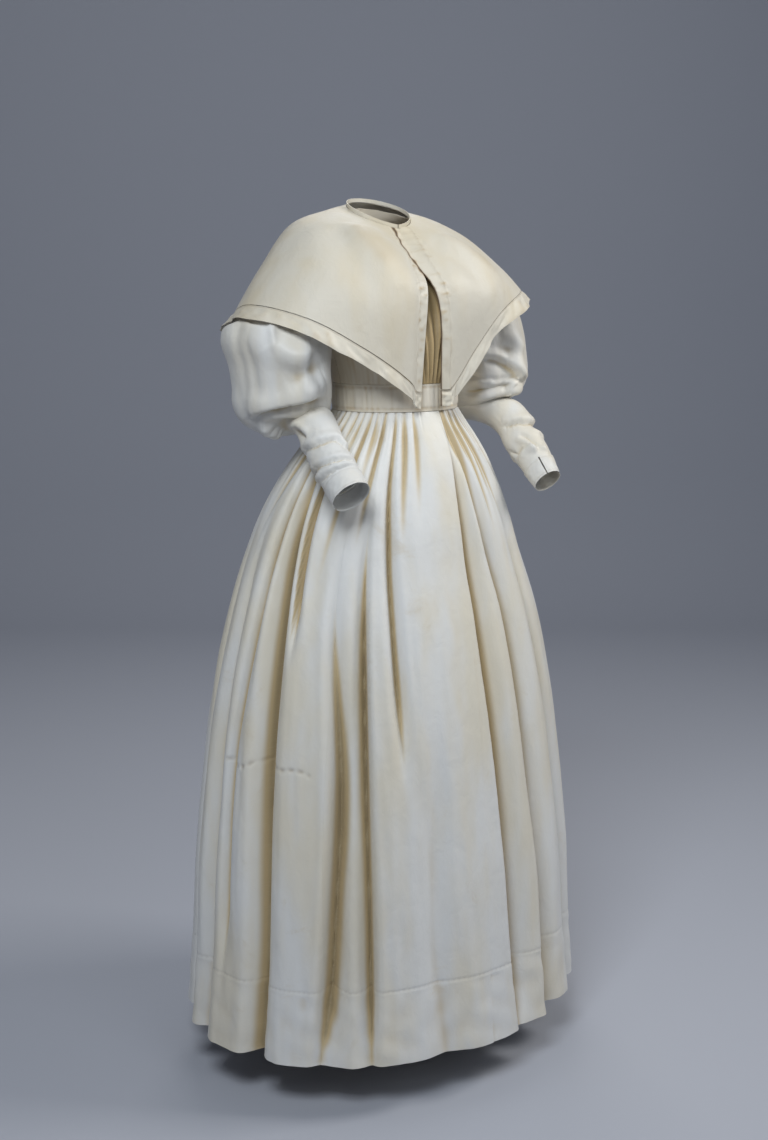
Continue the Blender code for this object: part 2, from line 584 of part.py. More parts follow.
def sleeve_rings(table, side, ribs):
    """Outer points of a sleeve as rings from armhole to cuff, and the axes of its last ring."""
    rows = np.array(table)
    along = np.concatenate([[0.0], np.cumsum(np.linalg.norm(np.diff(rows[:, :3], axis=0), axis=1))])
    places = through(np.arange(len(rows)), along, np.linspace(0, len(rows) - 1, SLEEVE_RINGS))
    x, y, z, width, fore, aft, lean, pitch = (through(along, column, places) for column in rows.T)
    lean, pitch = np.radians(lean), np.radians(pitch)
    none = 0.0 * x
    centre = np.stack([side * x, y, z], axis=-1)
    outward = np.stack([side * np.cos(lean), none, np.sin(lean)], axis=-1)
    down = np.stack([side * np.sin(lean), none, -np.cos(lean)], axis=-1)
    ahead = np.array([0.0, -1.0, 0.0])
    front = np.cos(pitch)[:, None] * ahead - np.sin(pitch)[:, None] * down
    turn = np.linspace(0.0, 2.0 * math.pi, SLEEVE_COLUMNS, endpoint=False)
    cos, sin = np.cos(turn), np.sin(turn)
    reach = np.where(sin > 0.0, fore[:, None], aft[:, None])
    rise = smooth(np.arange(SLEEVE_RINGS) / 4.0) * smooth((8.0 - 0.5 * np.arange(SLEEVE_RINGS)) / 3.0)
    pleat = 1.0 - SLEEVE_PLEAT_DEPTH / 0.09 * rise[:, None] * (1.0 + np.cos(SLEEVE_PLEATS * turn))
    ring = (width[:, None] * pleat * cos)[..., None] * outward[:, None]
    ring = ring + (reach * pleat * sin)[..., None] * front[:, None]
    points = off_torso(under_cape(centre[:, None] + ring, ribs))
    first = armhole() * [side, 1.0, 1.0] + [2.0 * side * SEAM_GAP, 0.0, 0.0]
    wrist = (centre[-1], unit(centre[-1] - centre[-2]), outward[-1], front[-1])
    return np.concatenate([first[None], points]), wrist


def make_sleeves(floor):
    """Two full sleeves from armhole to wrist, each with its fitted cuff."""
    for name, table, side, ribs in (("right", RIGHT_SLEEVE, -1, CAPE_RIGHT), ("left", LEFT_SLEEVE, 1, CAPE_LEFT)):
        rings, wrist = sleeve_rings(table, side, ribs)
        inner = rings[:, ::-side]
        outer = inner + CLOTH * grid_normals(inner, True)
        add_piece(f"sleeve_{name}", outer, inner, True, IVORY, floor)
        make_cuff(f"cuff_{name}", wrist, side, floor)


def make_cuff(name, wrist, side, floor):
    """A fitted cuff past the sleeve's end, with a slit on the outer side."""
    centre, forward, outward, front = wrist
    turn = np.radians(np.linspace(CUFF_SLIT, 360.0 - CUFF_SLIT, CUFF_COLUMNS + 1))
    along = 2.0 * SEAM_GAP + WRIST_CUFF_LENGTH * np.linspace(0.0, 1.0, 3)[:, None, None]
    ring = np.cos(turn)[:, None] * outward + np.sin(turn)[:, None] * front
    inner = (centre + CUFF_RADIUS * ring + forward * along)[:, ::-side]
    outer = inner + CLOTH * grid_normals(inner, False)
    add_piece(name, outer, inner, False, BORDER_IVORY, floor)


def main():
    for old in list(bpy.data.objects):
        bpy.data.objects.remove(old)
    floor = bpy.data.objects.new("wearer_floor", None)
    floor.location = (0.0, -NECK_SET_BACK, -NECK_HEIGHT)
    bpy.context.scene.collection.objects.link(floor)
    make_skirt(floor)
    make_waistband(floor)
    make_bodice(floor)
    make_sleeves(floor)
    make_cape(floor)
    make_neck_band(floor)


main()
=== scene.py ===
"""Looks of a bride's silk dress of the 1830s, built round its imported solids.

Units are metres. Heights are above the floor under the wearer, who faces -Y with the left arm towards +X.
Angles run round the figure from centre front, positive towards the wearer's left. The frame's origin is the
centre of the neck opening, so every point is moved by TO_FRAME when its mesh is made.
"""

import math

import bmesh
import bpy
import numpy as np
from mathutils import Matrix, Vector


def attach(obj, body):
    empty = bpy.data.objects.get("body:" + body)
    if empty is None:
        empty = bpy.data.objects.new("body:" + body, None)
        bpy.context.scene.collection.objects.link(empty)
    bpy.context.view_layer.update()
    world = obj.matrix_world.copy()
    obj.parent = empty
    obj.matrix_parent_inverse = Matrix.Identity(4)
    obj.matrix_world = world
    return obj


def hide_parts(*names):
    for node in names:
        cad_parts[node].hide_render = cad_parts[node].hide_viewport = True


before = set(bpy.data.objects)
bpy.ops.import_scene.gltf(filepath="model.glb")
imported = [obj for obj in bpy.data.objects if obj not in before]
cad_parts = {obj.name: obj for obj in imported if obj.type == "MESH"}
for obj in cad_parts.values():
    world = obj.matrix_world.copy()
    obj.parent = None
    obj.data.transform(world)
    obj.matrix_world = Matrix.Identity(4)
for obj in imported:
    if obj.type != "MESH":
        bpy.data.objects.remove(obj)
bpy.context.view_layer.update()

NECK_HEIGHT = 1.4365
TO_FRAME = np.array([0.0, -0.015, -NECK_HEIGHT])
SILK = 0.0010
SEAM_GAP = 0.0003
WAIST_SEAM = 1.122
BAND_TOP = 1.166
HEM = 0.088
UNDERARM = 1.238
SHOULDER_TIP = 1.388
CAMERA_PLACE = (-1.6438, -2.1190, -0.0865)
CAMERA_VIEW = (0.60476, 0.77405, -0.18738)
LENS = 50.0
FILM_WIDTH = 36.0


# Objects and the camera.
def add_object(name, data):
    made = bpy.data.objects.new(name, data)
    bpy.context.scene.collection.objects.link(made)
    return made


def aim(thing, place, view):
    """Puts a camera or a light at a place, so that it looks along view."""
    thing.location = place
    thing.rotation_euler = Vector(view).to_track_quat("-Z", "Y").to_euler()


def make_camera():
    """The camera, at the photograph's place and angle."""
    data = bpy.data.cameras.new("camera")
    data.lens, data.sensor_width = LENS, FILM_WIDTH
    camera = add_object("camera", data)
    aim(camera, CAMERA_PLACE, CAMERA_VIEW)
    bpy.context.scene.camera = camera


make_camera()


# Curves, noise and surfaces.
RIPPLE_WAVES = 14


def smooth(value):
    """0 below 0, 1 above 1 and an even S between."""
    share = np.clip(value, 0.0, 1.0)
    return share * share * (3.0 - 2.0 * share)


def bell(value):
    """1 at 0, and next to nothing by 2 on either side."""
    return np.exp(-(value**2))


def sine(degrees):
    return np.sin(np.radians(degrees))


def segment(places, at):
    """Where at lies among the rising places: the place before it, the span to the next, and the share of that."""
    index = np.clip(np.searchsorted(places, at, side="right") - 1, 0, len(places) - 2)
    span = places[index + 1] - places[index]
    return index, span, np.clip((at - places[index]) / span, 0.0, 1.0)


def bridge(share, span, first, last, leaving, arriving):
    """A smooth curve from first to last that starts and ends with the given slopes."""
    rise = smooth(share)
    straight = first * (1.0 - rise) + last * rise
    return straight + span * (share * (1.0 - share) ** 2 * leaving + share * share * (share - 1.0) * arriving)


def through(places, values, at):
    """A smooth curve through values at the rising places, read at the given places."""
    places, values, at = (np.asarray(item, float) for item in (places, values, at))
    slopes = np.gradient(values, places)
    index, span, share = segment(places, at)
    return bridge(share, span, values[index], values[index + 1], slopes[index], slopes[index + 1])


def read(table, column, at):
    """A column of a table as a smooth curve over the table's first column."""
    rows = np.array(table)
    return through(rows[:, 0], rows[:, column], at)


def unit(vectors):
    return vectors / np.linalg.norm(vectors, axis=-1, keepdims=True)


def points_at(x, y, z):
    """Points from coordinates that are grids, rows or numbers."""
    return np.stack(np.broadcast_arrays(x, y, z), axis=-1)


def around(outline, turn, height, inset=0.0):
    """Points of an outline at turns in radians and at heights, drawn in by inset.

    An outline has the columns height, half width, half depth and centre in Y.
    """
    width, depth, centre = (read(outline, column, height) for column in (1, 2, 3))
    return points_at((width - inset) * np.sin(turn), centre - (depth - inset) * np.cos(turn), height)


def grid_normals(grid, closed):
    """Normals of a grid of points, rows by columns, whose columns may close into a ring."""
    if closed:
        across = np.roll(grid, -1, axis=1) - np.roll(grid, 1, axis=1)
    else:
        across = np.gradient(grid, axis=1, edge_order=2)
    along = np.gradient(grid, axis=0, edge_order=2)
    return unit(np.cross(across, along))


def ripple(seed, u, v, low, high, across=1.0, up=1.0):
    """Even, seamless unevenness from -1 to 1: waves of mixed direction between two frequencies."""
    rng = np.random.default_rng(seed)
    total = 0.0
    for _ in range(RIPPLE_WAVES):
        rate, turn, phase = rng.uniform(low, high), rng.uniform(0.0, math.pi), rng.uniform(0.0, 6.28)
        total = total + np.sin(2.0 * math.pi * rate * (across * math.cos(turn) * u + up * math.sin(turn) * v) + phase)
    return total / math.sqrt(2.0 * RIPPLE_WAVES) / 1.6


def hollows(grid, closed, reach, rounds=6):
    """How far each point lies below its surroundings along its normal, as a share of reach."""
    blurred = grid.copy()
    for _ in range(rounds):
        if closed:
            blurred = (np.roll(blurred, 1, 1) + blurred + np.roll(blurred, -1, 1)) / 3.0
        else:
            blurred[:, 1:-1] = (blurred[:, :-2] + blurred[:, 1:-1] + blurred[:, 2:]) / 3.0
        blurred[1:-1] = (blurred[:-2] + blurred[1:-1] + blurred[2:]) / 3.0
    return np.sum((blurred - grid) * grid_normals(grid, closed), axis=-1) / reach


def along_paths(grid, normals, place, strokes):
    """Height of ridges (above 0) and troughs (below 0) laid along paths on a surface.

    place turns a path's own coordinates into points. Each stroke is its height, its reach to the left and to the
    right of its path as seen from outside, and the path.
    """
    lift = np.zeros(grid.shape[:2])
    for high, left, right, path in strokes:
        path = np.array(path)
        at = np.linspace(0.0, len(path) - 1.0, 4 * len(path) - 3)
        knots = place(np.stack([through(np.arange(len(path)), path[:, k], at) for k in (0, 1)], axis=-1))
        nearest, fade = np.full(grid.shape[:2], 9.0), np.zeros(grid.shape[:2])
        for k, (start, end) in enumerate(zip(knots[:-1], knots[1:])):
            way = end - start
            share = np.clip((grid - start) @ way / (way @ way), 0.0, 1.0)
            gap = grid - start - share[..., None] * way
            side = np.sum(gap * np.cross(normals, way), axis=-1)
            off = np.linalg.norm(gap, axis=-1) / np.where(side > 0.0, left, right)
            travelled = (k + share) / (len(knots) - 1)
            ends = smooth(0.2 + 3.2 * travelled) * smooth(3.4 - 3.2 * travelled)
            fade = np.where(off < nearest, ends, fade)
            nearest = np.minimum(nearest, off)
        lift = lift + high * fade * bell(nearest)
    return lift


# Materials.
THREAD = (0.30, 0.22, 0.13)
# The colour of painted shadow lines along lapped edges, and the share of the deep colour for the darkest painted
# shade.
EDGE_SHADE = (0.11, 0.07, 0.04)
DEEPEST_PAINTED_SHADE = 0.66


def put(tree, socket, value):
    """Links another node's output to an input, or sets the input to a number, a size or a colour."""
    if isinstance(value, bpy.types.NodeSocket):
        tree.links.new(value, socket)
    elif socket.type == "RGBA":
        socket.default_value = (*value, 1.0)
    else:
        socket.default_value = value


def node(tree, kind, output, **values):
    """An output of a new node. values are its settings, and its inputs by name with _ for a space."""
    made = tree.nodes.new(kind)
    for key, value in values.items():
        socket = made.inputs.get(key.replace("_", " "))
        if socket is None:
            setattr(made, key, value)
        else:
            put(tree, socket, value)
    return made.outputs[output]


def mix_colour(tree, share, one, two):
    """A mixed colour: one and two are outputs or colours, share an output."""
    made = tree.nodes.new("ShaderNodeMix")
    made.data_type = "RGBA"
    for index, value in ((0, share), (6, one), (7, two)):
        put(tree, made.inputs[index], value)
    return made.outputs[2]


def ramp(tree, source, low, high):
    """A number from 0 to 1 as source runs from low to high."""
    limits = {"From_Min": low, "From_Max": high}
    return node(tree, "ShaderNodeMapRange", "Result", interpolation_type="SMOOTHSTEP", Value=source, **limits)


def combine(tree, operation, one, two):
    made = tree.nodes.new("ShaderNodeMath")
    made.operation = operation
    for socket, value in zip(made.inputs, (one, two)):
        put(tree, socket, value)
    return made.outputs[0]


def noise(tree, place, stretch, detail, roughness, distortion=0.0):
    """Cloudy noise from 0 to 1, finer along each axis the larger its stretch."""
    vector = node(tree, "ShaderNodeMapping", "Vector", Vector=place, Scale=stretch)
    values = {"Scale": 1.0, "Detail": detail, "Roughness": roughness, "Distortion": distortion}
    return node(tree, "ShaderNodeTexNoise", "Fac", Vector=vector, **values)


def silk(name, light, warm, deep):
    """Ivory silk, slub weave, faint age marks; painted shade in hollows, dark thread and painted shadow lines."""
    material = bpy.data.materials.new(name)
    material.use_nodes = True
    tree = material.node_tree
    place = node(tree, "ShaderNodeTexCoord", "Object")
    # One attribute holds painted shade; the other holds stitches and painted shadow lines.
    painted_shade, stitch_and_shadow = (node(tree, "ShaderNodeAttribute", "Fac", attribute_name=item) for item in ("painted_shade", "stitch_and_shadow"))
    # Large, soft differences in tone, and cloudy age marks.
    cloud = noise(tree, place, (9.0, 9.0, 2.2), 3.0, 0.6)
    marks = noise(tree, place, (14.0, 14.0, 14.0), 5.0, 0.65, 0.6)
    # Weft slubs: fine level streaks, and warp threads across them.
    slub = noise(tree, place, (30.0, 30.0, 900.0), 3.0, 0.6)
    warp = noise(tree, place, (1100.0, 1100.0, 26.0), 2.0, 0.5)
    # Coats of colour, each laid over the ones before: where it shows, and the colour.
    coats = (
        (ramp(tree, cloud, 0.38, 0.66), warm),
        (combine(tree, "MULTIPLY", ramp(tree, marks, 0.60, 0.80), 0.30), deep),
        # Painted shade, warmer and darker the deeper the hollow, down to the darkest painted shade.
        (ramp(tree, painted_shade, 0.05, 0.60), deep),
        (ramp(tree, painted_shade, 0.55, 1.00), tuple(DEEPEST_PAINTED_SHADE * part for part in deep)),
        (combine(tree, "MULTIPLY", ramp(tree, slub, 0.52, 0.75), 0.10), warm),
        # Thread colour along stitches, and a painted shadow line where the attribute runs high.
        (combine(tree, "MULTIPLY", stitch_and_shadow, 0.55), THREAD),
        (ramp(tree, stitch_and_shadow, 0.75, 1.00), EDGE_SHADE),
    )
    tone = light
    for share, colour in coats:
        tone = mix_colour(tree, share, tone, colour)
    rough = node(tree, "ShaderNodeMapRange", "Result", Value=slub, To_Min=0.40, To_Max=0.62)
    weave = combine(tree, "ADD", slub, warp)
    normal = node(tree, "ShaderNodeBump", "Normal", Strength=0.13, Distance=0.0006, Height=weave)
    relief = noise(tree, place, (42.0, 42.0, 30.0), 3.0, 0.55, 0.4)
    normal = node(tree, "ShaderNodeBump", "Normal", Strength=0.35, Distance=0.004, Height=relief, Normal=normal)
    finish = {"Base Color": tone, "Roughness": rough, "Normal": normal}
    gloss = {"Specular IOR Level": 0.42, "Sheen Weight": 0.16, "Sheen Roughness": 0.35}
    for name, value in (*finish.items(), *gloss.items()):
        put(tree, tree.nodes["Principled BSDF"].inputs[name], value)
    return material


SKIRT_SILK = silk("skirt_silk", (0.79, 0.785, 0.755), (0.77, 0.715, 0.59), (0.58, 0.46, 0.27))
BODICE_SILK = silk("bodice_silk", (0.79, 0.73, 0.62), (0.75, 0.67, 0.52), (0.55, 0.40, 0.20))
CAPE_SILK = silk("cape_silk", (0.665, 0.620, 0.520), (0.64, 0.57, 0.43), (0.49, 0.38, 0.23))
SLEEVE_SILK = silk("sleeve_silk", (0.74, 0.735, 0.705), (0.76, 0.71, 0.60), (0.56, 0.45, 0.27))


# The names of the bodice's three pieces.
BODICE = ("bodice_front", "bodice_back_left", "bodice_back_right")


# Meshes.
def wall_faces(rows, columns, closed):
    """Quads of a closed wall: the outer skin, the inner skin and the strips that join them at the edges."""
    inner = rows * columns
    last = columns if closed else columns - 1

    def at(row, column):
        return row * columns + column % columns

    faces = []
    for row in range(rows - 1):
        for column in range(last):
            corners = (at(row, column), at(row, column + 1), at(row + 1, column + 1), at(row + 1, column))
            faces.append(corners)
            faces.append(tuple(inner + corner for corner in reversed(corners)))
    for column in range(last):
        for row, turn in ((0, 1), (rows - 1, -1)):
            one, two = at(row, column), at(row, column + 1)
            faces.append((one, inner + one, inner + two, two)[::turn])
    if not closed:
        for row in range(rows - 1):
            for column, turn in ((0, -1), (columns - 1, 1)):
                one, two = at(row, column), at(row + 1, column)
                faces.append((one, inner + one, inner + two, two)[::turn])
    return faces


def add_cloth(name, outer, inner, closed, material, painted_shade=None, stitch_and_shadow=None):
    """One piece of cloth as a closed thin shell that stands for the solid of its name."""
    rows, columns = outer.shape[:2]
    points = np.concatenate([outer.reshape(-1, 3), inner.reshape(-1, 3)]) + TO_FRAME
    mesh = bpy.data.meshes.new(name)
    mesh.from_pydata(points.tolist(), [], wall_faces(rows, columns, closed))
    shape = bmesh.new()
    shape.from_mesh(mesh)
    bmesh.ops.recalc_face_normals(shape, faces=shape.faces)
    shape.to_mesh(mesh)
    shape.free()
    # Painted shade, and stitches with painted shadow lines, go to the material as point attributes.
    for attribute, values in (("painted_shade", painted_shade), ("stitch_and_shadow", stitch_and_shadow)):
        values = np.zeros((rows, columns)) if values is None else np.clip(values, 0.0, 1.0)
        flat = np.tile(values.reshape(-1), 2).astype(np.float32)
        mesh.attributes.new(attribute, "FLOAT", "POINT").data.foreach_set("value", flat)
    mesh.shade_smooth()
    mesh.set_sharp_from_angle(angle=math.radians(70.0))
    mesh.materials.append(material)
    piece = add_object(f"{name}_cloth", mesh)
    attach(piece, "root")
    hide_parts(name)


def pull_in(skin, amount):
    """Draws the two end columns of a strip of cloth in by an amount, to leave room for the seam."""
    drawn = skin.copy()
    drawn[:, 0] += amount * unit(skin[:, 1] - skin[:, 0])
    drawn[:, -1] += amount * unit(skin[:, -2] - skin[:, -1])
    return drawn


# Skirt: four breadths gathered into the waist.
SKIRT_SEAMS = (-50.0, 40.0, 132.5, 222.5)
SKIRT_NAMES = ("skirt_front", "skirt_side_left", "skirt_back", "skirt_side_right")
SKIRT_STEP = 0.5
SKIRT_ROWS = 164

# Outline of the skirt from above: height, half width, half depth, centre in Y.
SKIRT_OUTLINE = (
    (0.06, 0.37, 0.299, 0),
    (0.2, 0.356, 0.288, 0),
    (0.38, 0.346, 0.279, 0),
    (0.5, 0.333, 0.268, 0),
    (0.61, 0.318, 0.257, 0),
    (0.7, 0.301, 0.244, 0),
    (0.79, 0.279, 0.227, 0),
    (0.88, 0.249, 0.206, 0),
    (0.94, 0.227, 0.19, -0.005),
    (1, 0.197, 0.167, -0.012),
    (1.05, 0.166, 0.143, -0.019),
    (1.08, 0.143, 0.124, -0.024),
    (1.105, 0.123, 0.106, -0.028),
    (1.122, 0.111, 0.096, -0.03),
)

# Hanging folds, each a hollow down the skirt: angles at the heights of FOLD_MARKS, heights where it starts, is full
# and has faded out, depth, width in degrees on the side of lower and of higher angle, and how far in degrees the
# ridge on its lower and on its higher side leans over it.
FOLD_MARKS = (HEM, 0.30, 0.55, 0.80, 1.00, WAIST_SEAM)
SKIRT_FOLDS = (
    ((-166, -167, -165, -163, -164, -164), 1.05, 0.5, 0, 0.05, 3.6, 5, 2, 0),
    ((-150, -148, -149, -150, -147, -148), 1.07, 0.6, 0, 0.03, 3, 3.6, 0, 2),
    ((-133, -132, -134, -135, -134, -134), 1, 0.45, 0, 0.05, 4, 3.6, 0, 2),
    ((-114, -115.5, -116, -115, -117, -117), 1.02, 0.55, 0, 0.04, 3.6, 4.4, 2, 0),
    ((-97, -96, -97, -97, -98, -99), 1.02, 0.5, 0, 0.032, 3.4, 3, 0, 1),
    ((-86, -87, -89, -86, -87, -88), 1.09, 0.9, 0.16, 0.022, 1.9, 2.8, 1, 0),
    ((-71.5, -71, -73, -74.5, -78.5, -80), 1.1, 0.88, 0, 0.04, 2.6, 3.6, 0, 0),
    ((-62, -63, -64, -66, -69.5, -70.5), 1.1, 0.97, 0.72, 0.022, 1.6, 1.8, 0, 0),
    ((-50.5, -47.5, -46, -50.5, -52, -53), 0.98, 0.42, 0.02, 0.044, 1.9, 4.2, 0, 0),
    ((-35.2, -36, -37.5, -39.5, -41, -42), 1.04, 0.66, 0.02, 0.034, 3, 1.3, 0, 0),
    ((-23, -24, -25.5, -29, -32.5, -35), 1.1, 0.9, 0.52, 0.024, 1.7, 1.9, 0, 0),
    ((-14, -17, -16.5, -16, -17, -17), 0.66, 0.38, 0, 0.014, 6.5, 5.5, 0, 0),
    ((11.5, 9.2, 6.6, 4.2, 4.6, 10), 1.118, 0.9, 0.02, 0.056, 1.3, 3.6, 0, 0),
    ((25.5, 23.5, 20.5, 18.5, 14, 16), 1.1, 0.8, 0, 0.046, 1.6, 4.6, 0, 0),
    ((46, 44, 41, 38, 36, 33), 1.07, 0.6, 0, 0.034, 3, 3.6, 0, 1),
    ((61, 60, 58, 59, 57, 56), 1.08, 0.5, 0, 0.05, 3.4, 4.4, 2, 0),
    ((77, 76, 77, 75, 74, 74), 1.06, 0.6, 0, 0.03, 3, 3.2, 0, 1.5),
    ((93, 94, 92, 91, 92, 90), 1.08, 0.5, 0, 0.048, 4, 3.4, 0, 2),
    ((109, 108, 109, 108, 107, 107), 1.06, 0.6, 0, 0.034, 3, 4, 1.5, 0),
    ((125, 127, 125, 124, 125, 124), 1.08, 0.5, 0, 0.052, 3.6, 4, 2, 0),
    ((142, 141, 143, 144, 143, 143), 1.05, 0.6, 0, 0.036, 3.4, 4, 0, 1.5),
    ((159, 160, 158, 159, 160, 160), 1.07, 0.5, 0, 0.05, 4, 3.6, 0, 2),
    ((176, 177, 176, 175, 177, 177), 1.07, 0.55, 0, 0.038, 3.4, 4, 1.5, 0),
)
# A fold narrower than SHARP_EDGE on its lower side gets a painted shadow line along that edge.
SHARP_EDGE = 1.7
FOLD_POWER = 1.6
FOLD_BULGE = 0.05
LONGEST_FADE = 0.22
PLAIN_FRONT = (-12.0, 6.0)
PLEAT_SPACING = 7.2
HEM_STITCHES = 0.122
MEND = (-93.0, -54.0)
MEND_HEIGHT = 0.567
# Shares of the rows and the heights they reach: closer together near the waist, the mend and the hem.
ROW_SHARES = (0.00, 0.10, 0.15, 0.32, 0.42, 0.68, 1.00)
ROW_HEIGHTS = (HEM, 0.199, 0.216, 0.548, 0.586, 0.94, WAIST_SEAM - 2.0 * SEAM_GAP)


def turned(angle):
    """The same angle from -180 to 180 degrees."""
    return (angle + 180.0) % 360.0 - 180.0


def fold_shape(angle, height):
    """How far the hanging folds draw the skirt in, how many degrees they push it sideways, and painted edge shadows.
    """
    depth, push, edge = (np.zeros_like(angle) for _ in range(3))
    for path, start, full, end, deep, low_side, high_side, low_lean, high_lean in SKIRT_FOLDS:
        off = turned(angle - through(FOLD_MARKS, path, height))
        away = np.abs(off / np.where(off < 0.0, low_side, high_side))
        share = smooth((start - height) / (start - full))
        if end > 0.0:
            share = share * smooth((height - end) / min(0.5 * (full - end), LONGEST_FADE))
        depth = depth + deep * share * np.exp(-(away**FOLD_POWER))
        depth = depth - FOLD_BULGE * deep * share * bell((away - 2.1) / 0.9)
        # Painted shadow line just beside a sharp lower edge.
        if low_side < SHARP_EDGE:
            edge = edge + share * bell((off + 0.9 * low_side) / 0.45)
        push = push + low_lean * share * bell((off + 1.35 * low_side) / (0.85 * low_side))
        push = push - high_lean * share * bell((off - 1.35 * high_side) / (0.85 * high_side))
    return depth, push, edge


def pleat_table():
    """The gathers under the waist: angle, drift by the time they fade, fading height, depth and width."""
    rng = np.random.default_rng(41)
    rows = []
    for spacing, deep, wide, lowest in ((PLEAT_SPACING, 0.0095, 2.0, 0.70), (2.9, 0.0026, 0.9, 0.98)):
        angle = -180.0
        while angle < 179.0 - 0.4 * spacing:
            t = turned(angle)
            cartridge = 9.0 < t < 37.0 or abs(t) > 135.0
            if not PLAIN_FRONT[0] < t < PLAIN_FRONT[1]:
                fade = lowest + (WAIST_SEAM - lowest) * rng.uniform(0.0, 0.85)
                depth = deep * rng.uniform(0.6, 1.15) * (1.25 if cartridge else 1.0)
                rows.append((t, 0.12 * t * rng.uniform(-0.2, 1.0), fade, depth, wide * rng.uniform(0.7, 1.2)))
            angle += spacing * rng.uniform(0.72, 1.25) * (0.62 if cartridge else 1.0)
    return rows


def pleat_depth(angle, height):
    depth = np.zeros_like(angle)
    for at, drift, fade, deep, width in pleat_table():
        fall = np.clip((WAIST_SEAM - height) / (WAIST_SEAM - fade), 0.0, 1.0)
        off = turned(angle - at - drift * fall)
        wide = width * (1.0 + 0.5 * fall)
        amount = deep * (1.0 - smooth(fall)) * (0.45 + 0.55 * smooth((WAIST_SEAM - height) / 0.045))
        depth = depth + amount * np.exp(-np.abs(off / wide) ** 1.8)
    return depth


def mend(angle, height):
    """Where a mend's ridge of stitches runs across the wearer's right side, stepping up and down."""
    line = MEND_HEIGHT + 0.006 * sine(angle * 9.0) + 0.004 * sine(angle * 23.0)
    near = smooth((angle - MEND[0]) / 2.0) * smooth((MEND[1] - angle) / 2.0)
    return near * bell((height - line) / 0.0035)


def skirt_points(angle, height):
    """Skirt's outer points, painted shade from 0 to 1 for how deep each lies in its folds, and where stitches show.
    """
    turn = np.radians(angle)
    drop = smooth((1.08 - height) / 0.5)
    wander = 0.7 * ripple(3, turn, height, 0.5, 1.5, 2.0, 1.0) * drop
    folds, push, edge = fold_shape(angle + wander, height)
    pleats = pleat_depth(angle, height)
    soft = 0.0030 * drop * ripple(5, turn, height, 0.8, 2.4, 3.0, 0.8)
    soft = soft + 0.0009 * drop * ripple(6, turn, height, 3.0, 7.0, 3.0, 1.2)
    # Below the hem's line of stitches the two layers crinkle on the slant.
    below = smooth((HEM + HEM_STITCHES - height) / 0.012) * smooth((height - HEM + 0.02) / 0.03)
    slant = ripple(8, turn * 0.30 + height * 0.5, height - turn * 0.10, 12.0, 30.0)
    seam = bell((height - HEM - HEM_STITCHES) / 0.0022)
    soft = soft - 0.0019 * below * slant + 0.0010 * seam
    t = turned(angle)
    pucker = mend(t, height)
    inset = folds + pleats + soft + 0.0028 * pucker * (0.6 + 0.4 * sine(t * 110.0))
    # Painted shade in the folds, the gathers and along sharp edges; the band below the hem's stitches is darker too.
    deep = smooth((folds - 0.004) / 0.034) + 0.65 * smooth(pleats / 0.010) + 0.16 * below + 0.9 * edge
    # Folds open out as they fall, so light reaches into them: the painted shade thins towards the hem.
    deep = deep * (1.0 - 0.45 * smooth((0.80 - height) / 0.50))
    stitch_and_shadow = 0.26 * seam * (0.5 + 0.5 * sine(t * 240.0)) + 0.6 * pucker * (0.5 + 0.5 * sine(t * 110.0))
    return around(SKIRT_OUTLINE, np.radians(angle + push), height, inset), deep, stitch_and_shadow


def make_skirt():
    count = round(360.0 / SKIRT_STEP)
    heights = np.interp(np.linspace(0.0, 1.0, SKIRT_ROWS), ROW_SHARES, ROW_HEIGHTS)
    angle, height = np.meshgrid(SKIRT_STEP * np.arange(count), heights)
    outer, deep, stitch_and_shadow = skirt_points(angle, height)
    inner = outer - SILK * grid_normals(outer, True)
    # Painted shade from fold depth and from small hollows.
    painted_shade = np.clip(deep + hollows(outer, True, 0.004) * 0.5, 0.0, 1.0)
    for name, start, end in zip(SKIRT_NAMES, SKIRT_SEAMS, (*SKIRT_SEAMS[1:], SKIRT_SEAMS[0] + 360.0)):
        columns = np.arange(round(start / SKIRT_STEP), round(end / SKIRT_STEP) + 1) % count
        skins = [pull_in(skin[:, columns], 0.2 * SEAM_GAP) for skin in (outer, inner)]
        add_cloth(name, *skins, False, SKIRT_SILK, painted_shade[:, columns], stitch_and_shadow[:, columns])


make_skirt()


# Bodice and waistband.
# Outline of the bodice: height, half width, half depth, centre in Y.
BODICE_OUTLINE = (
    (1.122, 0.11, 0.095, -0.03),
    (1.166, 0.112, 0.096, -0.029),
    (1.2, 0.119, 0.101, -0.026),
    (1.238, 0.131, 0.107, -0.021),
    (1.28, 0.139, 0.1075, -0.0125),
    (1.32, 0.149, 0.099, -0.004),
    (1.342, 0.156, 0.089, 0.003),
    (1.362, 0.161, 0.0755, 0.0105),
    (1.388, 0.16, 0.061, 0.0165),
    (1.41, 0.118, 0.053, 0.019),
    (1.432, 0.0635, 0.051, 0.018),
    (1.45, 0.05, 0.046, 0.017),
)
SIDE_SEAM = 89.75
NECK_SIDE = 1.433
BODICE_NECK_FRONT = 1.401
BODICE_NECK_BACK = 1.448
BODICE_UP = (0.0, 0.14, 0.26, 0.36, 0.47, 0.61, 0.76, 0.90, 1.0)
GATHER_HEIGHT = 0.0024
GATHER_SPREAD = 26.0


def torso_surface(angle, height):
    """Points of the bodice's outer face at angles in degrees and heights."""
    return around(BODICE_OUTLINE, np.radians(angle), height)


def torso_normals(angle, height):
    across = torso_surface(angle + 0.5, height) - torso_surface(angle - 0.5, height)
    up = torso_surface(angle, height + 0.003) - torso_surface(angle, height - 0.003)
    return unit(np.cross(across, up))


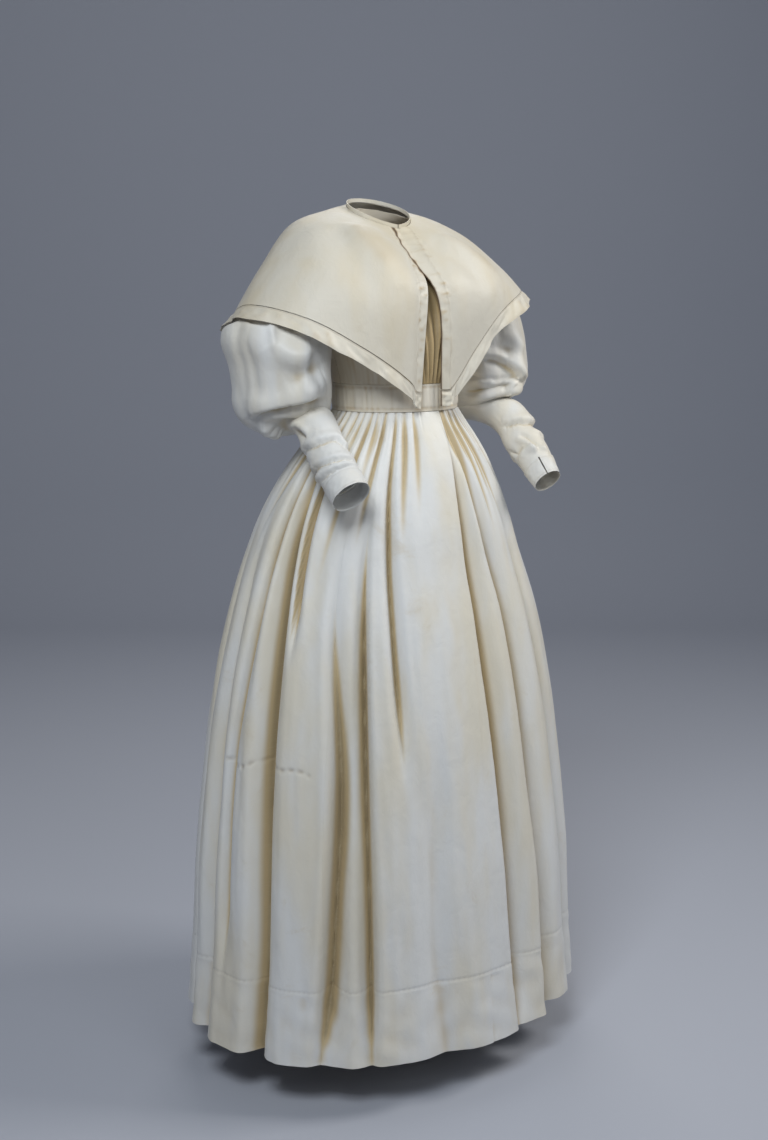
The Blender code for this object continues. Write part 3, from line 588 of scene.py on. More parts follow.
def patch(bottom, top, left, right, across, up):
    """Fills a four-sided patch from its edges, each a function of a share that gives two coordinates."""
    across, up = np.meshgrid(across, up)
    a, u = across[..., None], up[..., None]
    ruled = (1 - u) * bottom(across) + u * top(across) + (1 - a) * left(up) + a * right(up)
    first, last = np.zeros(1), np.ones(1)
    corners = (1 - a) * (1 - u) * bottom(first) + a * (1 - u) * bottom(last)
    corners = corners + (1 - a) * u * top(first) + a * u * top(last)
    return ruled - corners


def edge_line(*knots):
    """An edge through knots of share, reach and height, as a function of the share along it."""
    shares, reaches, heights = (np.array(item) for item in zip(*knots))

    def line(share):
        return np.stack([np.interp(share, shares, reaches), np.interp(share, shares, heights)], axis=-1)

    return line


def bodice_half(neck_height, columns, rows_between=1):
    """Half of the bodice front or back as angles and heights, from the centre line to side seam and armhole."""
    waist, under, ridge = (float(read(BODICE_OUTLINE, 1, at)) for at in (BAND_TOP, UNDERARM, NECK_SIDE))
    rise = NECK_SIDE - neck_height
    bottom = edge_line((0.0, 0.0, BAND_TOP), (1.0, waist, BAND_TOP))
    centre = edge_line((0.0, 0.0, BAND_TOP), (1.0, 0.0, neck_height))
    top = edge_line(
        (0.0, 0.0, neck_height),
        (0.20, 0.48 * ridge, neck_height + 0.18 * rise),
        (0.38, 0.85 * ridge, neck_height + 0.62 * rise),
        (0.50, ridge, NECK_SIDE),
        (0.72, 0.104, 1.416),
        (0.86, 0.134, 1.402),
        (1.0, 0.160, SHOULDER_TIP),
    )
    outer_edge = edge_line(
        (0.0, waist, BAND_TOP),
        (0.36, under, UNDERARM),
        (0.45, 0.1290, 1.256),
        (0.58, 0.1315, 1.290),
        (0.74, 0.1350, 1.333),
        (0.90, 0.1460, 1.368),
        (1.0, 0.1600, SHOULDER_TIP),
    )
    across = np.sin(np.linspace(0.0, 0.5 * math.pi, columns + 1))
    steps = len(BODICE_UP) - 1
    up = np.interp(np.linspace(0.0, steps, steps * rows_between + 1), np.arange(steps + 1), BODICE_UP)
    plan = patch(bottom, top, centre, outer_edge, across, up)
    sine = plan[..., 0] / read(BODICE_OUTLINE, 1, plan[..., 1])
    angle = np.minimum(np.degrees(np.arcsin(np.clip(sine, 0.0, 1.0))), SIDE_SEAM)
    return np.stack([angle, plan[..., 1]], axis=-1)


def mirrored(half):
    """Both halves of a front from its left-hand half of angles and heights."""
    other = half[:, :0:-1] * np.array([-1.0, 1.0])
    return np.concatenate([other, half], axis=1)


def front_gathers(angle, height):
    """How far the bodice front swells in the gathers that fan up from the waist at centre front."""
    above = height - BAND_TOP
    at = angle / (1.0 + 1.4 * smooth(above / 0.16))
    near = bell(at / GATHER_SPREAD) * smooth((1.37 - height) / 0.12) * (0.35 + 0.65 * smooth(above / 0.02))
    return GATHER_HEIGHT * near * np.cos(np.radians(at * 80.0 + 60.0 * sine(at * 9.0 + height * 900.0)))


def make_bodice():
    front_plan = mirrored(bodice_half(BODICE_NECK_FRONT, 90, 6))
    back_plan = bodice_half(BODICE_NECK_BACK, 40, 8)[:, ::-1]
    back_plan[..., 0] = 180.0 - back_plan[..., 0]
    right_plan = back_plan[:, ::-1] * np.array([-1.0, 1.0])
    for name, plan in zip(BODICE, (front_plan, back_plan, right_plan)):
        angle, height = plan[..., 0], plan[..., 1]
        normals = torso_normals(angle, height)
        inside, swell = np.zeros_like(angle), np.zeros_like(angle)
        if name == "bodice_front":
            inside = smooth((SIDE_SEAM - np.abs(angle)) / 20.0)
            swell = front_gathers(angle, height)
        swell = swell + 0.0008 * inside * ripple(12, angle / 40.0, height, 4.0, 10.0, 1.0, 2.0)
        outer = torso_surface(angle, height) + swell[..., None] * normals + np.array([0.0, 0.0, SEAM_GAP])
        skins = [pull_in(skin, SEAM_GAP) for skin in (outer, outer - SILK * normals)]
        # Painted shade over the whole bodice, deeper near the front gathers and in their dips.
        near = smooth((34.0 - np.abs(angle)) / 16.0) * inside
        add_cloth(name, *skins, False, BODICE_SILK, 0.20 + 0.78 * near - swell / 0.0050)


def make_waistband():
    """A fitted band round the waist with small upright puckers, which closes at centre back."""
    angle, height = np.meshgrid(np.linspace(-179.9, 179.9, 520), np.linspace(WAIST_SEAM, BAND_TOP - SEAM_GAP, 22))
    rise = (height - WAIST_SEAM) / (BAND_TOP - WAIST_SEAM)
    normals = torso_normals(angle, height)
    pucker = ripple(21, np.radians(angle), rise, 6.0, 16.0, 1.0, 0.02) * np.sin(math.pi * rise) ** 0.7
    edge = bell((rise - 0.12) / 0.05) + bell((rise - 0.88) / 0.05)
    swell = 0.0012 * pucker - 0.0006 * edge + 0.0006 * np.sin(math.pi * rise)
    outer = torso_surface(angle, height) + swell[..., None] * normals
    # Painted shade in the puckers' dips; thread along the band's edges.
    add_cloth("waistband", outer, outer - SILK * normals, False, BODICE_SILK, 0.15 - swell / 0.0035, 0.25 * edge)


make_bodice()
make_waistband()


# Cape.
# Ribs of the cape: angle from centre front, then reach from the axis and height at the base of the neck, on the
# shoulder, at the swell over chest or arm, and at the free edge.
CAPE_RIGHT = (
    (0, 0.06, 1.386, 0.101, 1.349, 0.133, 1.303, 0.135, 1.128),
    (10, 0.062, 1.389, 0.103, 1.355, 0.136, 1.306, 0.138, 1.131),
    (20, 0.067, 1.395, 0.108, 1.366, 0.145, 1.31, 0.15, 1.143),
    (32, 0.073, 1.402, 0.115, 1.379, 0.16, 1.316, 0.169, 1.168),
    (47, 0.082, 1.41, 0.126, 1.39, 0.18, 1.327, 0.206, 1.203),
    (67, 0.092, 1.42, 0.142, 1.402, 0.206, 1.341, 0.258, 1.253),
    (90, 0.1, 1.432, 0.155, 1.41, 0.218, 1.351, 0.282, 1.274),
    (110, 0.1, 1.439, 0.158, 1.417, 0.21, 1.352, 0.27, 1.254),
    (130, 0.094, 1.444, 0.151, 1.419, 0.196, 1.349, 0.258, 1.231),
    (150, 0.09, 1.446, 0.132, 1.415, 0.17, 1.345, 0.222, 1.2),
    (180, 0.086, 1.443, 0.113, 1.412, 0.146, 1.34, 0.166, 1.176),
)
CAPE_LEFT = (
    (0, 0.06, 1.386, 0.101, 1.349, 0.133, 1.303, 0.135, 1.13),
    (10, 0.062, 1.389, 0.103, 1.355, 0.136, 1.306, 0.137, 1.131),
    (20, 0.067, 1.395, 0.108, 1.365, 0.144, 1.311, 0.142, 1.148),
    (32, 0.073, 1.401, 0.115, 1.377, 0.157, 1.319, 0.156, 1.19),
    (47, 0.082, 1.408, 0.126, 1.387, 0.178, 1.331, 0.193, 1.248),
    (67, 0.092, 1.418, 0.142, 1.398, 0.206, 1.347, 0.255, 1.291),
    (90, 0.1, 1.43, 0.155, 1.407, 0.22, 1.359, 0.288, 1.291),
    (110, 0.1, 1.438, 0.156, 1.412, 0.21, 1.353, 0.276, 1.268),
    (130, 0.094, 1.443, 0.144, 1.414, 0.192, 1.349, 0.262, 1.243),
    (150, 0.09, 1.446, 0.13, 1.414, 0.168, 1.346, 0.222, 1.205),
    (180, 0.086, 1.443, 0.113, 1.412, 0.146, 1.34, 0.166, 1.176),
)
CAPE_STATIONS = (0.0, 0.20, 0.42, 0.66, 1.0)
CAPE_COLUMNS = 170
CAPE_ROWS = 66
# How far each front edge stands off centre: heights, and the right and the left edge. The left laps over at the neck.
CAPE_FRONTS = (
    (1.09, 0.031, 0.012),
    (1.2, 0.026, 0.01),
    (1.27, 0.02, 0.008),
    (1.3, 0.015, 0.005),
    (1.325, 0.009, 0),
    (1.35, 0.003, -0.008),
    (1.375, 0, -0.014),
    (1.42, 0, -0.01),
)
FACING = 0.022
BORDER_WIDTH = 0.026
BORDER_ROWS = 14
BORDER_WAVES = 7.0
BORDER_WAVE = 0.0042
NECK_RADIUS = 0.0535
NECK_SET_BACK = 0.015
NECK_FRONT = 1.4132
NECK_RISE = 0.045
NECK_BAND_HEIGHT = 0.006
NECK_BAND_DEPTH = 0.0014
CAPE_CLEARANCE = 0.007
TORSO_CLEARANCE = 0.005
CAD_CLOTH = 0.0018
# The left front lifts off the right one above this height.
LAP_HEIGHT = 1.345
LAP_LIFT = 0.0030


def neck_line(angle):
    """The neck edge of the cape at angles from centre front: X, Y and height."""
    turn = np.radians(angle)
    reach = np.sqrt(NECK_RADIUS**2 - (NECK_SET_BACK * np.sin(turn)) ** 2) - NECK_SET_BACK * np.cos(turn)
    y = -reach * np.cos(turn)
    back = np.clip((y + NECK_RADIUS - NECK_SET_BACK) / (2.0 * NECK_RADIUS), 0.0, 1.0)
    return reach * np.sin(turn), y, NECK_FRONT + NECK_RISE * back**0.75


def stations(values, share):
    """through() along the cape's stations for whole grids: values holds one array for each station."""
    places = np.array(CAPE_STATIONS)
    values = np.stack(np.broadcast_arrays(*values, share)[:-1])
    slopes = np.gradient(values, places, axis=0)
    index, span, part = segment(places, share)
    both = ((item, index[None] + shift) for item in (values, slopes) for shift in (0, 1))
    return bridge(part, span, *(np.take_along_axis(item, at, axis=0)[0] for item, at in both))


def cape_surface(ribs, side, angle, share):
    """Points of the cape at angles in degrees and shares of the way from neck to edge. side is -1 for the right."""
    neck_x, neck_y, neck_z = neck_line(angle)
    radius = stations([np.hypot(neck_x, neck_y)] + [read(ribs, column, angle) for column in (1, 3, 5, 7)], share)
    z = stations([neck_z] + [read(ribs, column, angle) for column in (2, 4, 6, 8)], share)
    slack = read(CAPE_FRONTS, 2 if side > 0.0 else 1, z) * smooth((24.0 - angle) / 24.0)
    turn = np.radians(angle)
    return points_at(side * (radius * np.sin(turn) + slack + SEAM_GAP), -radius * np.cos(turn), z)


def border_flare(grid, angle, share, start):
    """Lifts the border off the surface in waves that grow towards its free edge."""
    out = smooth((share - start) / (1.0 - start))
    calm = smooth(angle / 20.0) * smooth((178.0 - angle) / 20.0)
    lift = BORDER_WAVE * out * calm * (1.0 + sine(angle * 2.0 * BORDER_WAVES))
    return grid + lift[..., None] * unit(grid * np.array([1.0, 1.0, 0.0]))


def cape_seam_share(ribs, angle):
    """Where the border's seam lies along each rib, BORDER_WIDTH from the edge."""
    reach = read(ribs, 7, angle) - read(ribs, 5, angle)
    drop = read(ribs, 6, angle) - read(ribs, 8, angle)
    return 1.0 - (1.0 - CAPE_STATIONS[3]) * BORDER_WIDTH / np.hypot(reach, drop)


def cape_grid(ribs, side, from_seam):
    """Under points of a half cape, or of its border, as rows from the neck outwards."""
    even = np.linspace(0.0, 1.0, CAPE_COLUMNS + 1)
    angle = 180.0 * (0.35 * smooth(even) + 0.65 * even)
    seam = cape_seam_share(ribs, angle)
    steps = np.linspace(0.0, 1.0, (BORDER_ROWS if from_seam else CAPE_ROWS) + 1)[:, None]
    share = seam + 0.004 + (1.0 - seam - 0.004) * steps if from_seam else seam * steps
    angle, seam, steps, share = np.broadcast_arrays(angle, seam, steps, share)
    return border_flare(cape_surface(ribs, side, angle, share), angle, share, seam), angle, share, steps


# Soft creases in the cape: height, reach to the left and right of the path, and the path as angle and share.
CAPE_CREASES = {
    "right": (
        (0.0052, 0.03, 0.024, ((78, 0.3), (58, 0.52), (38, 0.72))),
        (-0.0056, 0.022, 0.03, ((70, 0.2), (50, 0.4), (30, 0.56))),
        (-0.0022, 0.02, 0.02, ((104, 0.4), (100, 0.62), (97, 0.86))),
        (0.0018, 0.02, 0.024, ((30, 0.62), (24, 0.75), (19, 0.92))),
        (0.0024, 0.016, 0.016, ((132, 0.35), (128, 0.6), (126, 0.88))),
        (-0.0022, 0.014, 0.012, ((156, 0.3), (154, 0.55), (150, 0.85))),
    ),
    "left": (
        (0.004, 0.02, 0.022, ((26, 0.24), (32, 0.46), (44, 0.74))),
        (-0.004, 0.02, 0.018, ((42, 0.2), (48, 0.42), (58, 0.7))),
        (-0.0016, 0.016, 0.016, ((14, 0.5), (18, 0.66), (24, 0.86))),
        (0.0022, 0.014, 0.014, ((84, 0.38), (82, 0.6), (84, 0.86))),
        (-0.0022, 0.012, 0.014, ((112, 0.4), (116, 0.62), (118, 0.88))),
        (0.002, 0.014, 0.014, ((146, 0.35), (148, 0.6), (150, 0.86))),
    ),
}


def front_edge(grid, angle, side, shade):
    """A front edge's stitched facing: pucker lift, stitches and painted shadow line, painted shade added to shade."""
    x, y, height = np.moveaxis(grid, -1, 0)
    front = smooth((30.0 - angle) / 4.0)
    inward = np.hypot(x, y) * sine(angle)
    sewn = bell((inward - FACING) / 0.0016) * front
    faced = smooth((1.4 * FACING - inward) / 0.006) * front
    pucker = ripple(41 + int(side), inward, height, 26.0, 60.0, 0.6, 2.2)
    stitch_and_shadow = 0.35 * sewn * (0.6 + 0.4 * np.sin(height * 1500.0))
    # Painted shade in the dips of the puckers.
    shade = shade + 0.30 * np.maximum(-pucker, 0.0) * faced
    # Painted shadow line along the left front's edge, and painted shade on the right front where the two lap.
    past = x - read(CAPE_FRONTS, 2, height) if side > 0.0 else -x + read(CAPE_FRONTS, 2, height)
    if side > 0.0:
        stitch_and_shadow = np.maximum(stitch_and_shadow, 1.6 * bell(past / 0.0026) * front)
    else:
        beside = 1.5 * bell(past / 0.0032) * smooth((height - 1.325) / 0.01) * (y < 0.0)
        shade, stitch_and_shadow = np.maximum(shade, beside), np.maximum(stitch_and_shadow, beside)
    return 0.0021 * pucker * faced - 0.0007 * sewn, stitch_and_shadow, shade


def make_cape_piece(name, ribs, side, strokes, from_seam):
    """A half cape or its border, creased along the strokes."""
    grid, angle, share, steps = cape_grid(ribs, side, from_seam)
    up = grid_normals(grid, False) * side
    bend, flat = np.radians(angle), np.hypot(grid[..., 0], grid[..., 1])
    creases = along_paths(grid, up, lambda path: cape_surface(ribs, side, *path.T), strokes)
    # Painted shade in the troughs of the creases.
    puckers, stitch_and_shadow, shade = front_edge(grid, angle, side, 0.10 * smooth(-creases / 0.005))
    lift = 0.0010 * smooth((share - 0.15) / 0.3) * ripple(31 + int(side), bend, flat * 4.0, 0.8, 2.4, 1.2, 0.6)
    lift = lift + creases + puckers
    if from_seam:
        cord = bell((steps - 0.05) / 0.035)
        lift = lift + 0.0022 * np.sin(math.pi * steps) * ripple(35, bend, steps, 3.0, 9.0, 1.6, 0.2)
        lift = lift + 0.0030 * steps**2 * ripple(37, bend, steps, 2.5, 6.0, 1.8, 0.1) + 0.0009 * cord
        stitch_and_shadow = np.maximum(stitch_and_shadow, 0.65 * cord)
    lift = lift * smooth(angle / 1.5) * smooth((180.0 - angle) / 3.0)
    if side > 0.0:
        lift = lift + LAP_LIFT * smooth((grid[..., 2] - LAP_HEIGHT) / 0.03) * smooth((16.0 - angle) / 8.0)
    inner = grid + lift[..., None] * up
    outer = inner + SILK * up
    if side < 0.0:
        outer, inner, stitch_and_shadow, shade = (item[:, ::-1] for item in (outer, inner, stitch_and_shadow, shade))
    # Painted shade: the front edges' and creases' shade plus the small hollows.
    add_cloth(name, outer, inner, False, CAPE_SILK, shade + 0.5 * hollows(outer, False, 0.0040, 8), stitch_and_shadow)


def make_cape():
    for name, ribs, side in (("right", CAPE_RIGHT, -1.0), ("left", CAPE_LEFT, 1.0)):
        make_cape_piece(f"cape_{name}", ribs, side, CAPE_CREASES[name], False)
        make_cape_piece(f"cape_border_{name}", ribs, side, CAPE_CREASES[name], True)


def make_neck_band():
    """A bound edge that stands on the neck line, open at centre front."""
    x, y, z = neck_line(np.linspace(2.0, 358.0, 150))
    lift = SEAM_GAP + NECK_BAND_HEIGHT * np.linspace(0.0, 1.0, 7)[:, None]
    line = points_at(x, y, z + lift)[:, ::-1]
    away = unit(line * np.array([1.0, 1.0, 0.0]))
    outer = line - 2.0 * SEAM_GAP * away
    add_cloth("neck_band", outer, outer - NECK_BAND_DEPTH * away, False, CAPE_SILK)


make_cape()
make_neck_band()


# Sleeves.
# Sections along a sleeve from shoulder to wrist: centre in X outwards, Y and height, half its width, its reach to
# the front and to the back, then in degrees how far it leans up towards the shoulder and pitches forward.
RIGHT_SLEEVE = (
    (0.157, 0.003, 1.3115, 0.073, 0.059, 0.06, 78, 0),
    (0.1685, 0.003, 1.2975, 0.0724, 0.074, 0.073, 71, 0),
    (0.181, 0.003, 1.278, 0.0744, 0.088, 0.086, 60, 0),
    (0.195, 0.003, 1.256, 0.079, 0.097, 0.098, 48, 0),
    (0.211, 0.003, 1.231, 0.087, 0.103, 0.106, 36, 0),
    (0.217, 0.003, 1.205, 0.0885, 0.103, 0.105, 26, 0),
    (0.211, 0.003, 1.178, 0.0805, 0.097, 0.092, 18, 0),
    (0.207, 0.004, 1.15, 0.077, 0.09, 0.086, 12, 0),
    (0.205, 0.004, 1.124, 0.075, 0.076, 0.086, 8, 4),
    (0.201, 0.001, 1.106, 0.064, 0.056, 0.07, 5, 12),
    (0.194, -0.01, 1.104, 0.049, 0.038, 0.046, 2, 30),
    (0.183, -0.028, 1.116, 0.037, 0.027, 0.033, 0, 48),
    (0.183, -0.05, 1.11, 0.034, 0.03, 0.032, 0, 52),
    (0.189, -0.078, 1.09, 0.033, 0.032, 0.032, 0, 51),
    (0.196, -0.102, 1.071, 0.0325, 0.032, 0.032, 0, 51),
    (0.2, -0.124, 1.055, 0.0315, 0.031, 0.031, 0, 51),
    (0.203, -0.142, 1.0405, 0.032, 0.031, 0.031, 0, 50),
    (0.205, -0.158, 1.028, 0.0305, 0.03, 0.03, 0, 50),
)
LEFT_SLEEVE = (
    (0.157, 0.003, 1.3115, 0.073, 0.059, 0.06, 78, 0),
    (0.169, 0.003, 1.2985, 0.073, 0.072, 0.073, 71, 0),
    (0.181, 0.003, 1.28, 0.0744, 0.082, 0.084, 60, 0),
    (0.1935, 0.003, 1.258, 0.078, 0.089, 0.091, 48, 0),
    (0.205, 0.003, 1.233, 0.082, 0.093, 0.093, 35, 0),
    (0.211, 0.003, 1.208, 0.0835, 0.094, 0.092, 25, 0),
    (0.2125, 0.003, 1.184, 0.084, 0.096, 0.09, 18, 0),
    (0.212, 0.002, 1.154, 0.084, 0.098, 0.086, 12, 0),
    (0.21, 0.002, 1.132, 0.08, 0.088, 0.078, 8, 4),
    (0.206, -0.004, 1.117, 0.068, 0.062, 0.064, 6, 10),
    (0.201, -0.02, 1.112, 0.056, 0.044, 0.048, 4, 26),
    (0.204, -0.042, 1.112, 0.044, 0.028, 0.038, 2, 42),
    (0.21, -0.07, 1.103, 0.034, 0.029, 0.034, 0, 48),
    (0.212, -0.094, 1.085, 0.031, 0.03, 0.031, 0, 48),
    (0.2085, -0.113, 1.064, 0.0305, 0.03, 0.03, 0, 46),
    (0.21, -0.131, 1.0465, 0.03, 0.03, 0.03, 0, 46),
    (0.2075, -0.148, 1.034, 0.029, 0.028, 0.028, 0, 48),
    (0.2055, -0.163, 1.021, 0.0265, 0.026, 0.026, 0, 50),
)
SLEEVE_COLUMNS = 22
SLEEVE_RINGS = 52
SLEEVE_PLEATS = 7
SLEEVE_PLEAT_DEPTH = 0.0045
# Cuffs: radius where it joins the sleeve and at the wrist, the turn of its slit, and half the slit in degrees.
CUFFS = {"right": (0.0315, 0.0310, -60.0, 5.0), "left": (0.0280, 0.0235, 124.0, 2.4)}
WRIST_CUFF_LENGTH = 0.034


# Folds of the sleeves: height, reach to the left and right of the path, and the path as table row and turn.
SLEEVE_FOLDS = {
    "right": (
        # The puff droops over its lower edge, and its corner hangs in a flap.
        (0.0075, 0.02, 0.007, ((8.5, -12), (8.2, 22), (7.75, 45), (7.5, 62), (7.15, 78), (6.65, 98), (6.5, 118))),
        (-0.011, 0.004, 0.011, ((8.9, -9), (8.6, 22), (8.15, 45), (7.9, 62), (7.6, 78), (7.1, 98), (6.95, 118))),
        (0.012, 0.011, 0.011, ((9.6, 15), (10.3, -35), (10.5, -60))),
        (0.005, 0.006, 0.005, ((11.7, -25), (12.3, 5), (13.2, 26))),
        (-0.0055, 0.004, 0.008, ((12.2, -25), (12.8, 0), (13.5, 12))),
        # A pinched pleat under the cape and the hollow beside it.
        (0.0055, 0.007, 0.006, ((3.6, 36), (4.3, 41), (5.1, 50))),
        (-0.008, 0.016, 0.016, ((3.5, 52), (4.1, 70), (3.6, 90))),
        (0.0045, 0.01, 0.024, ((4.6, 46), (5, 58), (4.9, 74), (4.2, 94))),
        # A soft diagonal hollow from the inner side, with a ridge below it.
        (-0.007, 0.018, 0.02, ((3.9, 128), (5, 102), (5.9, 76), (6.7, 58))),
        (0.0045, 0.012, 0.014, ((5.6, 116), (6.2, 94), (6.7, 72))),
        (-0.003, 0.012, 0.01, ((4.6, 14), (6, 20), (7.6, 22))),
        (0.003, 0.012, 0.012, ((4, -8), (6, -4), (7.8, 0))),
        # Crushed cloth round the forearm.
        (0.0048, 0.011, 0.004, ((13.3, -55), (13.4, -16), (13.8, 22),
            (14.05, 62), (14.15, 98), (14.6, 120), (14.4, 160))),
        (-0.0055, 0.003, 0.007, ((13.6, -55), (13.7, -16), (14.1, 22),
            (14.33, 62), (14.44, 98), (14.9, 120), (14.7, 160))),
        (0.0045, 0.008, 0.004, ((14.9, -60), (15, -20), (15.35, 18), (15.7, 58), (15.9, 95), (16, 140))),
        (-0.005, 0.003, 0.006, ((15.2, -60), (15.3, -20), (15.65, 18), (16, 58), (16.2, 95), (16.3, 140))),
        (0.0045, 0.006, 0.004, ((15.7, -70), (15.9, -25), (16.25, 18), (16.5, 58), (16.6, 100), (16.5, 150))),
        (-0.004, 0.003, 0.004, ((16.3, -40), (16.65, 10), (16.85, 60), (16.9, 110))),
        # Hidden side.
        (-0.007, 0.01, 0.014, ((5.2, 190), (6.3, 225), (7, 265))),
        (0.006, 0.012, 0.008, ((6.2, 180), (7.2, 220), (7.9, 270), (8.3, 320))),
        (0.004, 0.008, 0.005, ((13, 190), (13.6, 230), (13.8, 280))),
        (-0.004, 0.004, 0.007, ((14.8, 180), (15.3, 225), (15.4, 275))),
    ),
    "left": (
        # Level creases across the puff.
        (0.0075, 0.018, 0.006, ((3.8, 146), (4.1, 124), (5.2, 102), (5.9, 89), (6.6, 76), (7, 58))),
        (-0.0075, 0.005, 0.011, ((4.2, 146), (4.5, 124), (5.6, 102), (6.3, 89), (7, 76), (7.4, 58))),
        (-0.0045, 0.004, 0.006, ((5.5, 156), (6, 135), (6.33, 118), (6.56, 93), (6.8, 75))),
        (0.0045, 0.007, 0.008, ((5.8, 156), (6.3, 135), (6.62, 118), (6.85, 93), (7.1, 75))),
        (-0.0125, 0.006, 0.01, ((7, 156), (6.8, 132), (6.92, 105), (7.1, 92))),
        (0.007, 0.009, 0.009, ((7.75, 156), (7.45, 132), (7.5, 105), (7.75, 82), (7.9, 60))),
        (-0.0055, 0.012, 0.014, ((3.2, 128), (4.3, 108), (5.2, 84))),
        (0.005, 0.012, 0.012, ((3.3, 102), (4.4, 82), (5.3, 66))),
        # Crushed and twisted cloth round the forearm.
        (0.004, 0.01, 0.004, ((12.9, 180), (13.05, 158), (13.3, 124), (13.5, 78), (13.4, 40), (13, 0))),
        (-0.005, 0.003, 0.007, ((13.2, 180), (13.33, 158), (13.6, 124), (13.8, 78), (13.7, 40), (13.3, 0))),
        (0.0055, 0.006, 0.005, ((14.4, 158), (15.1, 135), (15.9, 126), (16.6, 122))),
        (-0.0055, 0.006, 0.005, ((14.3, 140), (15, 120), (15.9, 110), (16.4, 104))),
        (0.0045, 0.005, 0.006, ((16.1, 200), (15.8, 158), (15.9, 128), (16.2, 88), (16.6, 66))),
        (-0.0045, 0.006, 0.003, ((14.6, 215), (15.4, 185), (15.5, 150))),
        (0.004, 0.006, 0.005, ((14.2, 100), (14.6, 60), (14.6, 20), (14.2, -20))),
        # Hidden side.
        (-0.007, 0.012, 0.01, ((5.2, 200), (6.1, 240), (6.6, 290))),
        (0.006, 0.01, 0.008, ((6.4, 210), (7.2, 255), (7.6, 310), (7.8, 360))),
        (0.004, 0.006, 0.006, ((14.8, 230), (15.2, 275), (15, 320))),
    ),
}


def under_cape(points, ribs):
    """Presses points down to lie clear below the cape where it covers them."""
    angle = np.degrees(np.arctan2(np.abs(points[..., 0]), -points[..., 1]))
    reach = np.hypot(points[..., 0], points[..., 1])
    shares = np.linspace(0.0, 1.0, 21)
    pressed = points.copy()
    for mark in np.unique(np.round(angle)):
        here = np.round(angle) == mark
        rib = cape_surface(ribs, 1.0, np.full(shares.shape, mark), shares)
        distance = np.hypot(rib[:, 0], rib[:, 1])
        edge = rib[-1, 2] - CAPE_CLEARANCE
        ceiling = np.interp(reach[here] + CAPE_CLEARANCE, distance, rib[:, 2], right=edge) - CAD_CLOTH
        pressed[here, 2] = np.minimum(points[here, 2], ceiling)
    return pressed


def off_torso(points):
    """Moves points out sideways so that they lie clear of the bodice, the band and the top of the skirt."""
    height = points[..., 2]
    body = [read(BODICE_OUTLINE, column, np.clip(height, WAIST_SEAM, 1.40)) for column in (1, 2, 3)]
    skirt = [read(SKIRT_OUTLINE, column, np.clip(height, 0.90, WAIST_SEAM)) for column in (1, 2, 3)]
    width, depth, centre = (np.where(height > WAIST_SEAM, *pair) for pair in zip(body, skirt))
    off_y = points[..., 1] - centre
    room = np.sqrt(np.clip(1.0 - (off_y / (depth + TORSO_CLEARANCE)) ** 2, 0.0, 1.0))
    wall = (width + TORSO_CLEARANCE + CAD_CLOTH) * room
    clear = points.copy()
    clear[..., 0] = np.sign(points[..., 0]) * np.maximum(np.abs(points[..., 0]), wall)
    return clear


def armhole():
    """The left armhole's edge as a ring of points that starts at the shoulder tip and runs down the front."""
    front = bodice_half(BODICE_NECK_FRONT, 8)[3:, -1][::-1]
    back = bodice_half(BODICE_NECK_BACK, 8)[4:-1, -1]
    edge = np.concatenate([front, back * [-1.0, 1.0] + [180.0, 0.0], front[:1]])
    points = torso_surface(edge[:, 0], edge[:, 1])
    length = np.concatenate([[0.0], np.cumsum(np.linalg.norm(np.diff(points, axis=0), axis=1))])
    at = np.linspace(0.0, length[-1], SLEEVE_COLUMNS, endpoint=False)
    return np.stack([np.interp(at, length, points[:, axis]) for axis in range(3)], axis=-1)


def sleeve_rings(table, side, ribs):
    """Under points of a sleeve as rings from armhole to cuff, and the axes of its last ring."""
    rows = np.array(table)
    along = np.concatenate([[0.0], np.cumsum(np.linalg.norm(np.diff(rows[:, :3], axis=0), axis=1))])
    places = through(np.arange(len(rows)), along, np.linspace(0, len(rows) - 1, SLEEVE_RINGS))
    x, y, z, width, fore, aft, lean, pitch = (through(along, column, places) for column in rows.T)
    lean, pitch = np.radians(lean), np.radians(pitch)
    centre = points_at(side * x, y, z)
    outward = points_at(side * np.cos(lean), 0.0, np.sin(lean))
    down = points_at(side * np.sin(lean), 0.0, -np.cos(lean))
    front = np.cos(pitch)[:, None] * np.array([0.0, -1.0, 0.0]) - np.sin(pitch)[:, None] * down
    turn = np.linspace(0.0, 2.0 * math.pi, SLEEVE_COLUMNS, endpoint=False)
    cos, sin = np.cos(turn), np.sin(turn)
    reach = np.where(sin > 0.0, fore[:, None], aft[:, None])
    step = np.linspace(0.0, 23.0, SLEEVE_RINGS)
    rise = smooth(step / 4.0) * smooth((8.0 - 0.5 * step) / 3.0)
    pleat = 1.0 - SLEEVE_PLEAT_DEPTH / 0.09 * rise[:, None] * (1.0 + np.cos(SLEEVE_PLEATS * turn))
    ring = (width[:, None] * pleat * cos)[..., None] * outward[:, None]
    ring = ring + (reach * pleat * sin)[..., None] * front[:, None]
    points = off_torso(under_cape(centre[:, None] + ring, ribs))
    first = armhole() * [side, 1.0, 1.0] + [2.0 * side * SEAM_GAP, 0.0, 0.0]
    wrist = (centre[-1], unit(centre[-1] - centre[-2]), outward[-1], front[-1])
    return np.concatenate([first[None], points]), wrist


